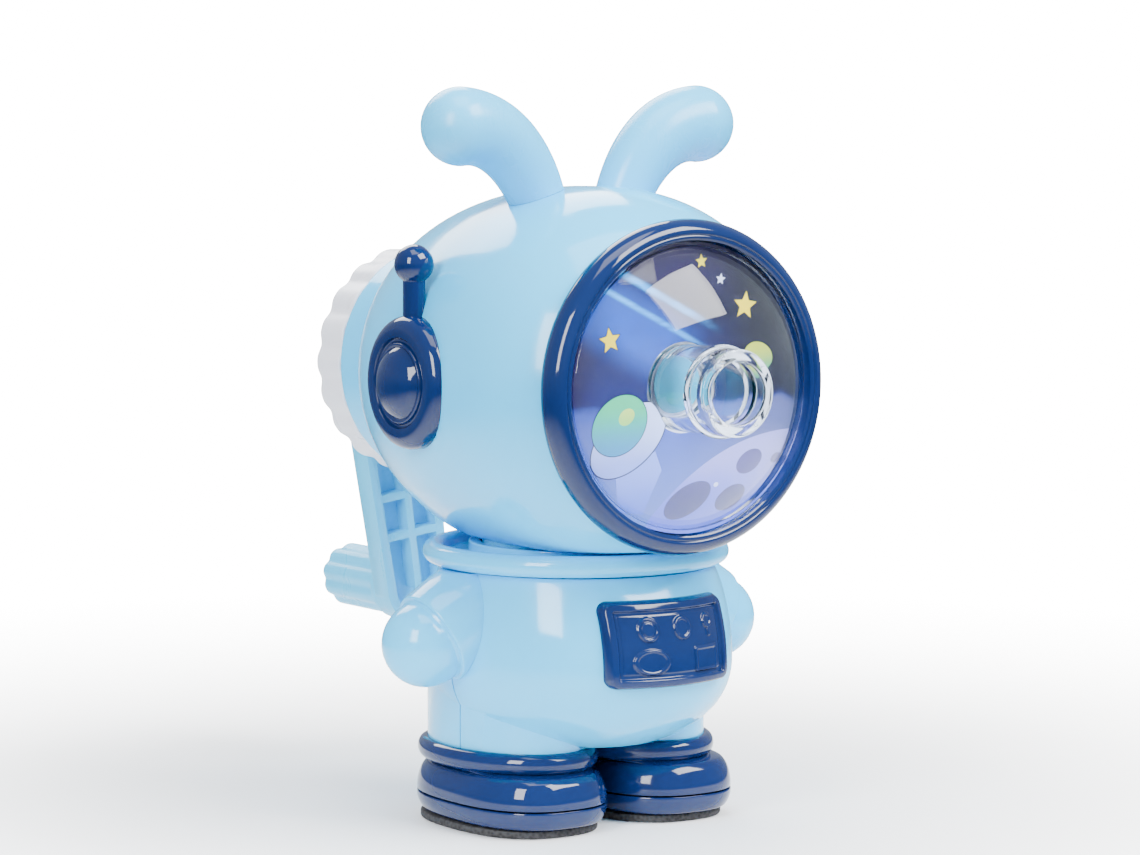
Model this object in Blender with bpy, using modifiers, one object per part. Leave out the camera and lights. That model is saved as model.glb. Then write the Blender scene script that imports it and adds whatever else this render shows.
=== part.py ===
"""Crank pencil sharpener shaped like a small space traveller with two long ears.

The body is the shavings bin and lifts apart at the neck. The head holds the sharpener: a fixed
internal gear makes a tilted helical cutter spin while the crank carries it round the pencil.
The front faces -Y, +Z is up, and "left" and "right" are as seen from the front. A root empty
moves the model along Y, so that its outer box is centred on the origin.
"""
import math

import bmesh
import bpy
from mathutils import Matrix, Vector

MM = 0.001

# Fits
GAP = 0.3 * MM                      # between pieces that touch
SLIDE_GAP = 0.5 * MM                # round the mechanism, which pulls out of the head
WALL = 2.0 * MM                     # moulded shells

# Resolution of the turned pieces
STEPS_LARGE = 36
STEPS_MEDIUM = 24
STEPS_SMALL = 14
STEPS_TINY = 10
STEPS_CARRIER = 18
ROWS_OUTER = 12                     # of a barrel's outside
ROWS_INNER = 8

# Head: a rounded barrel lying along Y
HEAD_RADIUS = 32.7 * MM
HEAD_CENTRE = -6.5 * MM
HEAD_REACH_FRONT = 31.7 * MM
HEAD_REACH_REAR = 50.0 * MM
HEAD_POWER = 2.48
HEAD_FRONT = -28.6 * MM
HEAD_REAR = 36.0 * MM
HEAD_FLAT = 4.7 * MM                # cut off the bottom of the barrel
HEAD_CAVITY_BEYOND = 5.0 * MM       # how far the cavity runs past the open ends

# Shavings chute from the head into the body
SPIGOT_RADIUS = 16.2 * MM
SPIGOT_WALL = 1.5 * MM
SPIGOT_DEPTH = 5.3 * MM

# Window: ring, clear dome with its pencil collar, and the printed card
RING_OVERHANG = 1.54 * MM           # beyond the head's front edge
RING_BAND = 3.5 * MM                # from its bore to its outside
RING_SECTION_RADIAL = 2.4 * MM
RING_SECTION_AXIAL = 3.0 * MM
RING_AHEAD = 2.8 * MM               # its section's centre, ahead of the head
RING_SHELF_AHEAD = 2.0 * MM
RING_SLEEVE_WALL = 1.8 * MM
RING_SLEEVE_DEPTH = 2.4 * MM
DOME_WALL = 1.2 * MM
DOME_FLANGE = 1.2 * MM
DOME_RISE = 10.6 * MM
COLLAR_RADIUS = 7.25 * MM
COLLAR_BORE = 5.2 * MM
COLLAR_REACH = 3.0 * MM
COLLAR_LIP = 0.4 * MM
CARD_THICKNESS = 0.5 * MM

# Pencil guide behind the card
GUIDE_FLANGE = 1.5 * MM
GUIDE_WALL = 1.8 * MM
GUIDE_CLEARANCE = 1.0 * MM          # to the turning nose behind it

# Rear collar of the head
REAR_COLLAR_FLARE = 0.24 * MM       # beyond the head's rear edge
REAR_COLLAR_LENGTH = 7.2 * MM
REAR_COLLAR_SPIGOT = 5.0 * MM
REAR_COLLAR_WALL = 1.2 * MM
REAR_COLLAR_ROUND = 1.0 * MM

# Gears: teeth converge on the point where the cutter's axis meets the crank's axis
GEAR_PLANE = 0.5 * MM
GEAR_WIDTH = 3.0 * MM
GEAR_MODULE = 0.75 * MM
RING_TEETH = 36
PINION_TEETH = 12
TOOTH_TIP = 0.55 * MM
TOOTH_ROOT = 0.85 * MM
TOOTH_PLAY = 0.34 * MM
TOOTH_SLOPE = math.tan(math.radians(20.0))
CUTTER_TILT = math.radians(11.3)

# Helical cutter and its pin
CUTTER_RADIUS = 4.5 * MM
CUTTER_LENGTH = 22.5 * MM
CUTTER_FLUTES = 10
FLUTE_DEPTH = 0.7 * MM
CUTTER_TWIST = math.radians(150.0)
CUTTER_SECTIONS = 15
PIN_RADIUS = 1.2 * MM

# Carrier that holds the cutter
NOSE_RADIUS = 6.2 * MM
NOSE_LENGTH = 4.6 * MM
CARRIER_BORE = 4.3 * MM
CARRIER_DISC = 12.2 * MM
CARRIER_PLATE = 1.9 * MM
TROUGH_RADIUS = 7.6 * MM
TROUGH_CLEARANCE = 0.92 * MM        # below the cutter
POINT_TAPER = 0.2
CONE_TIP = 0.1 * MM
SHAFT_RADIUS = 3.2 * MM

# Grip cap with its cage
GRIP_INSET = 0.2 * MM               # from the rear collar's outside
GRIP_TAPER = 0.985
GRIP_LENGTH = 8.5 * MM
GRIP_WALL = 2.5 * MM
GRIP_SKIRT = 1.7 * MM
GRIP_RIBS = 20
GRIP_RIB_DEPTH = 0.7 * MM
CAGE_WALL = 1.5 * MM
CAGE_WINDOW = 18.0 * MM
CAGE_FRONT_BAND = 3.5 * MM
CAGE_REAR_BAND = 6.0 * MM
BUSH_RADIUS = 5.3 * MM
BUSH_FLANGE = 1.5 * MM
BUSH_FLANGE_RADIUS = 7.0 * MM
BUSH_NOSE = 0.7 * MM

# Crank
CRANK_LENGTH = 44.0 * MM
CRANK_LEAN = math.radians(7.5)
CRANK_HEAD_RADIUS = 8.6 * MM
HUB_RADIUS = 7.6 * MM
CRANK_END_RADIUS = 6.6 * MM
CRANK_DEPTH = 5.0 * MM
CRANK_STANDOFF = 6.2 * MM
CRANK_WALL = 1.8 * MM
CRANK_WEB = 1.6 * MM
CRANK_RIB = 1.4 * MM
CRANK_CROSS_RIBS = 4
HUB_SCREW_RADIUS = 1.2 * MM
HUB_SCREW_HEAD = 4.1 * MM
HUB_SCREW_HEAD_HEIGHT = 1.5 * MM
HUB_SCREW_LENGTH = 7.0 * MM
SCREW_SLOT_LENGTH = 4.4 * MM
SCREW_SLOT_WIDTH = 0.8 * MM
SCREW_SLOT_DEPTH = 0.9 * MM

# Knob
KNOB_RADIUS = 5.9 * MM
KNOB_FLANGE_RADIUS = 6.4 * MM
KNOB_FLANGE = 1.5 * MM
KNOB_LENGTH = 21.2 * MM
KNOB_FLUTES = 9
KNOB_FLUTE_DEPTH = 0.5 * MM
KNOB_ROUNDING = 2.6 * MM
KNOB_PLAY = 0.4 * MM                # round its post
POST_RADIUS = 2.3 * MM
POST_LENGTH = 14.5 * MM
POST_HEAD = 0.7 * MM
POST_HEAD_LENGTH = 2.4 * MM

# Ears
# The ears' path is given from the top of the head.
EAR_ROOT_FROM_CROWN = Vector((8.0, 0.0, -4.7)) * MM
EAR_LOW_FROM_CROWN = Vector((10.5, 0.0, 3.3)) * MM
EAR_HIGH_FROM_CROWN = Vector((16.0, 0.0, 10.3)) * MM
EAR_TIP_FROM_CROWN = Vector((24.45, 0.0, 10.3)) * MM
EAR_Y = -1.3 * MM
EAR_ROOT_RADIUS = 4.7 * MM
EAR_TIP_RADIUS = 6.7 * MM

# Headphones with their aerials
PHONE_RADIUS = 11.3 * MM
PHONE_Y = 3.0 * MM
PHONE_SINK = 6.2 * MM               # its flat back, inside the head's widest radius
PHONE_RIM_PROUD = 0.9 * MM
PHONE_PROUD = 4.1 * MM
PHONE_RIM_ROUND = 2.0 * MM
PHONE_STEP_DROP = 0.5 * MM
PHONE_STEP_SHARE = 0.78
PHONE_BOSS_SHARE = 0.50
AERIAL_SETBACK = 1.7 * MM
AERIAL_RADIUS = 1.9 * MM
AERIAL_BALL_RADIUS = 3.35 * MM
AERIAL_BALL_HEIGHT = 19.9 * MM

# Neck ring
NECK_RADIUS = 26.5 * MM
NECK_HEIGHT = 3.7 * MM
NECK_RIM = 1.85 * MM
NECK_SEAT = 2.0 * MM
NECK_PLATE = 1.6 * MM
NECK_SKIRT = 3.3 * MM
NECK_SKIRT_WALL = 1.6 * MM

# Body: a rounded barrel standing upright, with the belly pushed forward
TORSO_TOP = 44.2 * MM
TORSO_RADIUS = 25.8 * MM
TORSO_WIDEST = 29.0 * MM
TORSO_BEYOND_TOP = 16.0 * MM        # how far its curve would run on above the top
TORSO_LOWER = 17.0 * MM
TORSO_POWER = 2.3
BELLY_PUSH = 0.136
BELLY_MIDDLE = 27.0 * MM
BELLY_SPAN = 20.0 * MM

# Legs
LEG_X = 12.3 * MM
LEG_Y = 3.0 * MM
LEG_HALF_WIDTH = 11.8 * MM
LEG_HALF_DEPTH = 17.5 * MM
LEG_INSERT = 3.2 * MM               # into the shoe

# Arms
# The arm's ends are given from the body's side at its top.
ARM_SHOULDER_FROM_SIDE = Vector((-10.8, 1.0, -4.2)) * MM
ARM_HAND_FROM_SIDE = Vector((4.5, 1.0, -11.9)) * MM
ARM_EDGE_ROUND = 0.8 * MM
ARM_SHOULDER_RADIUS = 8.9 * MM
ARM_WRIST_RADIUS = 8.3 * MM
HAND_RADIUS = 7.5 * MM
WRIST_SETBACK = 1.4 * MM

# Belly panel
PANEL_HALF_WIDTH = 12.3 * MM
PANEL_HALF_HEIGHT = 7.25 * MM
PANEL_BELOW_TOP = 10.7 * MM
PANEL_CORNER = 1.6 * MM
PANEL_THICKNESS = 1.2 * MM

# Shoes, their base plates and the foam soles
SHOE_X = 13.2 * MM
SHOE_Y = 0.5 * MM
SHOE_HALF_WIDTH = 13.0 * MM
SHOE_HALF_DEPTH = 19.3 * MM
SHOE_POWER = 2.5
SHOE_WELT = 4.9 * MM
SHOE_TOP = 14.0 * MM
SHOE_CUFF_HEIGHT = 3.8 * MM
SHOE_SHOULDER_PULL = 2.3 * MM
SHOE_CUFF = 1.5 * MM
SOLE_X = 13.1 * MM
SOLE_Y = 1.5 * MM
SOLE_HALF_WIDTH = 12.2 * MM
SOLE_HALF_DEPTH = 17.9 * MM
SOLE_THICKNESS = 1.3 * MM

# Places worked out from the sizes above
TORSO_BOTTOM = SHOE_TOP + GAP
TORSO_UPPER = TORSO_TOP - TORSO_WIDEST + TORSO_BEYOND_TOP
NECK_BOTTOM = TORSO_TOP + GAP
NECK_TOP = NECK_BOTTOM + NECK_HEIGHT
HEAD_FLOOR = NECK_TOP + GAP
AXIS_HEIGHT = HEAD_FLOOR + HEAD_RADIUS - HEAD_FLAT
LEG_BOTTOM = SHOE_TOP - LEG_INSERT
SHOE_SHOULDER = SHOE_TOP - SHOE_CUFF_HEIGHT
SHOE_BASE_BOTTOM = SOLE_THICKNESS + GAP
PANEL_HEIGHT = TORSO_TOP - PANEL_BELOW_TOP
TORSO_SIDE = Vector((TORSO_RADIUS, 0.0, TORSO_TOP))
ARM_SHOULDER = TORSO_SIDE + ARM_SHOULDER_FROM_SIDE
ARM_HAND = TORSO_SIDE + ARM_HAND_FROM_SIDE
CROWN = Vector((0.0, 0.0, AXIS_HEIGHT + HEAD_RADIUS))
EAR_ROOT = CROWN + EAR_ROOT_FROM_CROWN
EAR_BEND_LOW = CROWN + EAR_LOW_FROM_CROWN
EAR_BEND_HIGH = CROWN + EAR_HIGH_FROM_CROWN
EAR_TIP = CROWN + EAR_TIP_FROM_CROWN
PHONE_SEAT = HEAD_RADIUS - PHONE_SINK
PHONE_RIM_OUT = HEAD_RADIUS + PHONE_RIM_PROUD
PHONE_OUT = HEAD_RADIUS + PHONE_PROUD
AERIAL_X = HEAD_RADIUS - AERIAL_SETBACK


def head_radius(y, inset=0.0):
    """Radius of the head's barrel at a place along Y."""
    reach = (HEAD_REACH_FRONT if y < HEAD_CENTRE else HEAD_REACH_REAR) - inset
    share = min(abs(y - HEAD_CENTRE) / reach, 1.0)
    return (HEAD_RADIUS - inset) * (1.0 - share ** HEAD_POWER) ** (1.0 / HEAD_POWER)


RING_FACE = HEAD_FRONT - GAP
RING_CENTRE = HEAD_FRONT - RING_AHEAD
RING_SHELF = HEAD_FRONT - RING_SHELF_AHEAD
RING_RADIUS = head_radius(HEAD_FRONT) + RING_OVERHANG
RING_BORE = RING_RADIUS - RING_BAND
REAR_COLLAR_RADIUS = head_radius(HEAD_REAR) + REAR_COLLAR_FLARE
GRIP_RADIUS = REAR_COLLAR_RADIUS - GRIP_INSET
CARD_BACK = RING_SHELF - GAP
DOME_BACK = CARD_BACK - CARD_THICKNESS - GAP
DOME_BASE = DOME_BACK - DOME_FLANGE
DOME_APEX = DOME_BASE - DOME_RISE
DOME_RIM = RING_BORE - GAP
DOME_SPHERE = (DOME_RIM ** 2 + DOME_RISE ** 2) / (2.0 * DOME_RISE)
COLLAR_FRONT = DOME_APEX - COLLAR_REACH
GUIDE_FRONT = RING_SHELF + GAP
PITCH_PINION = GEAR_MODULE * PINION_TEETH / 2.0
PITCH_RING = GEAR_MODULE * RING_TEETH / 2.0
PINION_CONE = math.atan(math.sin(CUTTER_TILT) / (RING_TEETH / PINION_TEETH - math.cos(CUTTER_TILT)))
APEX_TO_RING = PITCH_RING / math.tan(PINION_CONE + CUTTER_TILT)
APEX_TO_PINION = PITCH_PINION / math.tan(PINION_CONE)
APEX = GEAR_PLANE + APEX_TO_RING
CUTTER_FRONT = APEX_TO_PINION - GEAR_WIDTH / 2.0 - GAP
CUTTER_BACK = CUTTER_FRONT - CUTTER_LENGTH
PINION_SWING = (PITCH_PINION + TOOTH_TIP) * math.sin(CUTTER_TILT)
PINION_NEAR = APEX - (APEX_TO_PINION + GEAR_WIDTH / 2.0) * math.cos(CUTTER_TILT) - PINION_SWING
DISC_BACK = PINION_NEAR - GAP
DISC_FRONT = DISC_BACK - CARRIER_PLATE
NOSE_FRONT = DISC_FRONT - NOSE_LENGTH
PLATE_FRONT = APEX - CUTTER_BACK * math.cos(CUTTER_TILT) + CUTTER_RADIUS * math.sin(CUTTER_TILT) + GAP
PLATE_BACK = PLATE_FRONT + CARRIER_PLATE
CUTTER_REACH = CUTTER_RADIUS * math.cos(CUTTER_TILT) - CUTTER_BACK * math.sin(CUTTER_TILT)
TROUGH_TOP = CUTTER_REACH + TROUGH_CLEARANCE
COLLAR_SEAT = HEAD_REAR + GAP
COLLAR_BACK = COLLAR_SEAT + REAR_COLLAR_LENGTH
GRIP_FRONT = COLLAR_BACK + GAP
GRIP_BACK = GRIP_FRONT + GRIP_LENGTH
GRIP_FLOOR = GRIP_BACK - GRIP_WALL
BUSH_BACK = GRIP_BACK + BUSH_NOSE
HUB_FRONT = BUSH_BACK + GAP
CRANK_FRONT = HUB_FRONT + CRANK_STANDOFF
CRANK_BACK = CRANK_FRONT + CRANK_DEPTH
SCREW_SEAT = CRANK_BACK - CRANK_WEB
SHAFT_END = SCREW_SEAT - CRANK_WEB - GAP
KNOB_FRONT = CRANK_BACK + GAP
KNOB_BACK = KNOB_FRONT + KNOB_LENGTH
POST_END = KNOB_FRONT + POST_LENGTH
POST_SHOULDER = POST_END - POST_HEAD_LENGTH
MODEL_SHIFT = -(COLLAR_FRONT + KNOB_BACK) / 2.0

# Colours: base colour, roughness, metallic
LOOKS = {
    "shell_blue": ((0.38, 0.72, 0.90), 0.25, 0.0),
    "crank_blue": ((0.55, 0.80, 0.90), 0.35, 0.0),
    "white_plastic": ((0.85, 0.86, 0.92), 0.35, 0.0),
    "navy_gloss": ((0.02, 0.06, 0.22), 0.15, 0.0),
    "clear_plastic": ((0.85, 0.90, 1.00), 0.05, 0.0),
    "printed_card": ((0.15, 0.16, 0.45), 0.50, 0.0),
    "black_foam": ((0.02, 0.02, 0.02), 0.90, 0.0),
    "steel": ((0.60, 0.60, 0.62), 0.30, 1.0),
    "brass": ((0.75, 0.58, 0.28), 0.30, 1.0),
}


# ---------------------------------------------------------------- scene helpers
def clear_scene():
    for obj in list(bpy.data.objects):
        bpy.data.objects.remove(obj, do_unlink=True)


def new_collection(name):
    collection = bpy.data.collections.new(name)
    bpy.context.scene.collection.children.link(collection)
    return collection


def add_frame(name, parent, location=(0.0, 0.0, 0.0), rotation=(0.0, 0.0, 0.0)):
    """An empty that other objects are placed in."""
    frame = bpy.data.objects.new(name, None)
    SHARPENER.objects.link(frame)
    frame.parent = parent
    frame.location = location
    frame.rotation_euler = rotation
    return frame


def material(name, look):
    colour, roughness, metallic = LOOKS[look]
    mat = bpy.data.materials.new(name)
    mat.use_nodes = True
    shader = mat.node_tree.nodes["Principled BSDF"]
    shader.inputs["Base Color"].default_value = (*colour, 1.0)
    shader.inputs["Roughness"].default_value = roughness
    shader.inputs["Metallic"].default_value = metallic
    return mat


def add_part(obj, parent, look, location=(0.0, 0.0, 0.0), rotation=(0.0, 0.0, 0.0)):
    """Keep an object as a sub-part, placed in its frame."""
    place(obj, parent, location, rotation)
    obj.data.materials.clear()
    obj.data.materials.append(material(obj.name, look))
    SHARPENER.objects.link(obj)
    CUTTERS.objects.unlink(obj)
    obj.hide_render = False
    obj.display_type = "TEXTURED"
    return obj


def place(obj, parent, location=(0.0, 0.0, 0.0), rotation=(0.0, 0.0, 0.0)):
    obj.parent = parent
    obj.location = location
    obj.rotation_euler = rotation
    return obj


def add_shape(name, mesh):
    """Every shape starts as a hidden guide; add_part turns it into a sub-part."""
    shape = bpy.data.objects.new(name, mesh)
    shape.hide_render = True
    shape.display_type = "WIRE"
    CUTTERS.objects.link(shape)
    return shape


def shape_from_bmesh(name, bm):
    bmesh.ops.recalc_face_normals(bm, faces=bm.faces)
    mesh = bpy.data.meshes.new(name)
    bm.to_mesh(mesh)
    bm.free()
    mesh.shade_smooth()
    mesh.set_sharp_from_angle(angle=math.radians(40.0))
    return add_shape(name, mesh)


def boolean(obj, other, operation):
    modifier = obj.modifiers.new(other.name, "BOOLEAN")
    modifier.operation = operation
    modifier.object = other
    return obj


def cut(obj, *others):
    for other in others:
        boolean(obj, other, "DIFFERENCE")
    return obj


def join(obj, *others):
    for other in others:
        boolean(obj, other, "UNION")
    return obj


# ---------------------------------------------------------------- shape helpers
def arc(centre, radii, start, end, count):
    """Points on an ellipse's arc, from one angle in degrees to another."""
    points = []
    for index in range(count + 1):
        angle = math.radians(start + (end - start) * index / count)
        points.append((centre[0] + radii[0] * math.cos(angle), centre[1] + radii[1] * math.sin(angle)))
    return points


def turned(name, profile, steps, closed=False):
    """(radius, height) points turned about local Z; their order is set so that faces point out."""
    points = list(profile)
    following = points[1:] + points[:1]
    area = sum(a[0] * b[1] - b[0] * a[1] for a, b in zip(points, following))
    if area > 0.0:
        points.reverse()
    edges = [(index, index + 1) for index in range(len(points) - 1)]
    if closed:
        edges.append((len(points) - 1, 0))
    mesh = bpy.data.meshes.new(name)
    mesh.from_pydata([(radius, 0.0, height) for radius, height in points], edges, [])
    shape = add_shape(name, mesh)
    screw = shape.modifiers.new("turn", "SCREW")
    screw.steps = steps
    screw.render_steps = steps
    screw.use_merge_vertices = True
    screw.merge_threshold = 0.00001
    screw.use_smooth_shade = True
    return shape


def tube(name, outer, inner, low, high, steps):
    profile = [(outer, high), (outer, low), (inner, low), (inner, high)]
    return turned(name, profile, steps, closed=True)


def cylinder(name, radius, low, high, steps, end_radius=None):
    bm = bmesh.new()
    far_radius = radius if end_radius is None else end_radius
    bmesh.ops.create_cone(bm, cap_ends=True, segments=steps, radius1=radius, radius2=far_radius,
                          depth=high - low, matrix=Matrix.Translation((0.0, 0.0, (low + high) / 2.0)))
    return shape_from_bmesh(name, bm)


def box(name, low, high):
    bm = bmesh.new()
    bmesh.ops.create_cube(bm, size=1.0)
    for vert in bm.verts:
        vert.co = Vector(low) + Vector(((vert.co[i] + 0.5) * (high[i] - low[i]) for i in range(3)))
    return shape_from_bmesh(name, bm)


def prism(name, outline, low, high, taper=1.0):
    """A flat outline extruded from one height to another, its far end scaled by the taper."""
    bm = bmesh.new()
    face = bm.faces.new([bm.verts.new((x, y, low)) for x, y in outline])
    extruded = bmesh.ops.extrude_face_region(bm, geom=[face])
    for item in extruded["geom"]:
        if isinstance(item, bmesh.types.BMVert):
            item.co = (item.co.x * taper, item.co.y * taper, high)
    return shape_from_bmesh(name, bm)


def loft(name, sections):
    """A closed solid through rings of equally many points."""
    bm = bmesh.new()
    rings = [[bm.verts.new(point) for point in section] for section in sections]
    count = len(rings[0])
    for near, far in zip(rings, rings[1:]):
        for index in range(count):
            after = (index + 1) % count
            bm.faces.new((near[index], near[after], far[after], far[index]))
    bm.faces.new(rings[0])
    bm.faces.new(rings[-1])
    return shape_from_bmesh(name, bm)


def baked(obj, name):
    """The evaluated copy of an object as a plain mesh object; the original is removed."""
    bpy.context.view_layer.update()
    evaluated = obj.evaluated_get(bpy.context.evaluated_depsgraph_get())
    mesh = bpy.data.meshes.new_from_object(evaluated)
    mesh.transform(obj.matrix_world)
    bm = bmesh.new()
    bm.from_mesh(mesh)
    bmesh.ops.remove_doubles(bm, verts=bm.verts, dist=0.00001)
    bpy.data.objects.remove(obj, do_unlink=True)
    return shape_from_bmesh(name, bm)


def superellipse(half_x, half_y, power, count):
    points = []
    for index in range(count):
        angle = 2.0 * math.pi * index / count
        x, y = math.cos(angle), math.sin(angle)
        points.append((half_x * math.copysign(abs(x) ** (2.0 / power), x),
                       half_y * math.copysign(abs(y) ** (2.0 / power), y)))
    return points


def rounded_rectangle(half_x, half_y, corner, count):
    points = []
    for turn, (sign_x, sign_y) in enumerate(((1, 1), (-1, 1), (-1, -1), (1, -1))):
        centre = (sign_x * (half_x - corner), sign_y * (half_y - corner))
        points += arc(centre, (corner, corner), 90.0 * turn, 90.0 * turn + 90.0, count)
    return points


def gear_outline(teeth, pitch_radius, tip, root, play):
    """Straight-flanked teeth; the first is centred on local +X."""
    tooth_half = math.pi * pitch_radius / (2.0 * teeth) - play / 2.0
    points = []
    for tooth in range(teeth):
        centre = 2.0 * math.pi * tooth / teeth
        for radius, side in ((pitch_radius - root, -1), (pitch_radius + tip, -1),
                             (pitch_radius + tip, 1), (pitch_radius - root, 1)):
            half = tooth_half - (radius - pitch_radius) * TOOTH_SLOPE
            angle = centre + side * half / radius
            points.append((radius * math.cos(angle), radius * math.sin(angle)))
    return points


def scalloped_outline(radius, depth, lobes, points_per_lobe):
    points = []
    total = lobes * points_per_lobe
    for index in range(total):
        angle = 2.0 * math.pi * index / total
        reach = radius - depth * (0.5 - 0.5 * math.cos(lobes * angle))
        points.append((reach * math.cos(angle), reach * math.sin(angle)))
    return points


def tapered_capsule(radius_near, radius_far, length, shrink, count):
    """Outline of two round ends joined by tangents; the near end is at the origin, the far one at +Y."""
    near, far = radius_near - shrink, radius_far - shrink
    lean = math.degrees(math.asin((near - far) / length))
    points = arc((0.0, length), (far, far), lean, 180.0 - lean, count)
    points += arc((0.0, 0.0), (near, near), 180.0 - lean, 360.0 + lean, count)
    return points


# ---------------------------------------------------------------- head
def head_barrel(name, inset, beyond, count, steps):
    """The head's barrel between its open ends, which a cavity passes through."""
    profile = [(0.0, HEAD_FRONT - beyond), (head_radius(HEAD_FRONT, inset), HEAD_FRONT - beyond)]
    first = 1 if beyond == 0.0 else 0
    for index in range(first, count + 1):
        share = 0.5 - 0.5 * math.cos(math.pi * index / count)
        y = HEAD_FRONT + (HEAD_REAR - HEAD_FRONT) * share
        profile.append((head_radius(y, inset), y))
    if beyond > 0.0:
        profile.append((head_radius(HEAD_REAR, inset), HEAD_REAR + beyond))
    profile.append((0.0, HEAD_REAR + beyond))
    return place(turned(name, profile, steps), MAIN_AXIS)


def build_head_shell():
    wide = 2.0 * HEAD_RADIUS
    below = place(box("head_below", (-wide, -wide, -wide), (wide, wide, HEAD_FLOOR)), ROOT)
    floor = place(box("head_floor", (-wide, -wide, -wide), (wide, wide, HEAD_FLOOR + WALL)), ROOT)
    cavity = cut(head_barrel("head_cavity", WALL, HEAD_CAVITY_BEYOND, ROWS_INNER, STEPS_MEDIUM), floor)
    spigot = place(cylinder("chute_spigot", SPIGOT_RADIUS, HEAD_FLOOR - SPIGOT_DEPTH,
                            HEAD_FLOOR + WALL / 2.0, STEPS_MEDIUM), ROOT)
    chute = place(cylinder("chute", SPIGOT_RADIUS - SPIGOT_WALL, HEAD_FLOOR - SPIGOT_DEPTH - WALL,
                           HEAD_FLOOR + 2.0 * WALL, STEPS_MEDIUM), ROOT)
    shell = head_barrel("head_shell", 0.0, 0.0, ROWS_OUTER, STEPS_LARGE)
    cut(shell, below)
    join(shell, spigot)
    cut(shell, cavity, chute)
    add_part(shell, MAIN_AXIS, "shell_blue")


def build_rear_collar():
    spigot = head_radius(HEAD_REAR, WALL) - GAP
    bore = spigot - REAR_COLLAR_WALL
    face = head_radius(HEAD_REAR)
    profile = [(bore, COLLAR_SEAT - REAR_COLLAR_SPIGOT), (spigot, COLLAR_SEAT - REAR_COLLAR_SPIGOT),
               (spigot, COLLAR_SEAT), (face, COLLAR_SEAT)]
    profile += arc((REAR_COLLAR_RADIUS - REAR_COLLAR_ROUND, COLLAR_BACK - REAR_COLLAR_ROUND),
                   (REAR_COLLAR_ROUND, REAR_COLLAR_ROUND), 0.0, 90.0, 3)
    profile.append((bore, COLLAR_BACK))
    collar = turned("rear_collar", profile, STEPS_LARGE, closed=True)
    add_part(collar, MAIN_AXIS, "shell_blue")
    return bore


# ---------------------------------------------------------------- window
def build_visor_ring():
    sleeve = head_radius(HEAD_FRONT, WALL) - GAP
    bore = sleeve - RING_SLEEVE_WALL
    centre = (RING_RADIUS - RING_SECTION_RADIAL, RING_CENTRE)
    section = (RING_SECTION_RADIAL, RING_SECTION_AXIAL)
    start = -math.degrees(math.acos((RING_BORE - centre[0]) / RING_SECTION_RADIAL))
    end = math.degrees(math.asin((RING_FACE - RING_CENTRE) / RING_SECTION_AXIAL))
    profile = [(bore, RING_SHELF), (RING_BORE, RING_SHELF)]
    profile += arc(centre, section, start, end, 7)
    profile += [(sleeve, RING_FACE), (sleeve, RING_FACE + RING_SLEEVE_DEPTH),
                (bore, RING_FACE + RING_SLEEVE_DEPTH)]
    ring = turned("visor_ring", profile, STEPS_LARGE, closed=True)
    add_part(ring, MAIN_AXIS, "navy_gloss")
    return bore


def dome_depth(radius, sphere):
    """Where the dome's sphere reaches a radius."""
    centre = DOME_APEX + DOME_SPHERE
    return centre - math.sqrt(sphere ** 2 - radius ** 2)


def build_visor_dome():
    inner_sphere = DOME_SPHERE - DOME_WALL
    inner_rim = DOME_RIM - DOME_WALL
    arcs = 4
    profile = [(COLLAR_BORE, COLLAR_FRONT + COLLAR_LIP), (COLLAR_BORE + COLLAR_LIP, COLLAR_FRONT),
               (COLLAR_RADIUS - COLLAR_LIP, COLLAR_FRONT), (COLLAR_RADIUS, COLLAR_FRONT + COLLAR_LIP)]
    for index in range(arcs + 1):
        radius = COLLAR_RADIUS + (DOME_RIM - COLLAR_RADIUS) * index / arcs
        profile.append((radius, dome_depth(radius, DOME_SPHERE)))
    profile += [(DOME_RIM, DOME_BACK), (inner_rim, DOME_BACK)]
    for index in range(arcs + 1):
        radius = inner_rim + (COLLAR_RADIUS - inner_rim) * index / arcs
        profile.append((radius, dome_depth(radius, inner_sphere)))
    profile += [(COLLAR_RADIUS, RING_SHELF), (COLLAR_BORE, RING_SHELF)]
    dome = turned("visor_dome", profile, STEPS_LARGE, closed=True)
    add_part(dome, MAIN_AXIS, "clear_plastic")


def build_star_card():
    card = tube("star_card", DOME_RIM, COLLAR_RADIUS + GAP, CARD_BACK - CARD_THICKNESS, CARD_BACK,
                STEPS_MEDIUM)
    add_part(card, MAIN_AXIS, "printed_card")


def build_pencil_guide(ring_bore):
    flange = ring_bore - GAP
    outer = COLLAR_BORE + GUIDE_WALL
    stop = NOSE_FRONT - GUIDE_CLEARANCE
    profile = [(COLLAR_BORE, GUIDE_FRONT), (flange, GUIDE_FRONT), (flange, GUIDE_FRONT + GUIDE_FLANGE),
               (outer, GUIDE_FRONT + GUIDE_FLANGE), (outer, stop), (COLLAR_BORE, stop)]
    guide = turned("pencil_guide", profile, STEPS_MEDIUM, closed=True)
    add_part(guide, MAIN_AXIS, "white_plastic")


# ---------------------------------------------------------------- ears and headphones
def ear_point(share):
    rest = 1.0 - share
    return (EAR_ROOT * rest ** 3 + EAR_BEND_LOW * 3.0 * rest ** 2 * share
            + EAR_BEND_HIGH * 3.0 * rest * share ** 2 + EAR_TIP * share ** 3)


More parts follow.
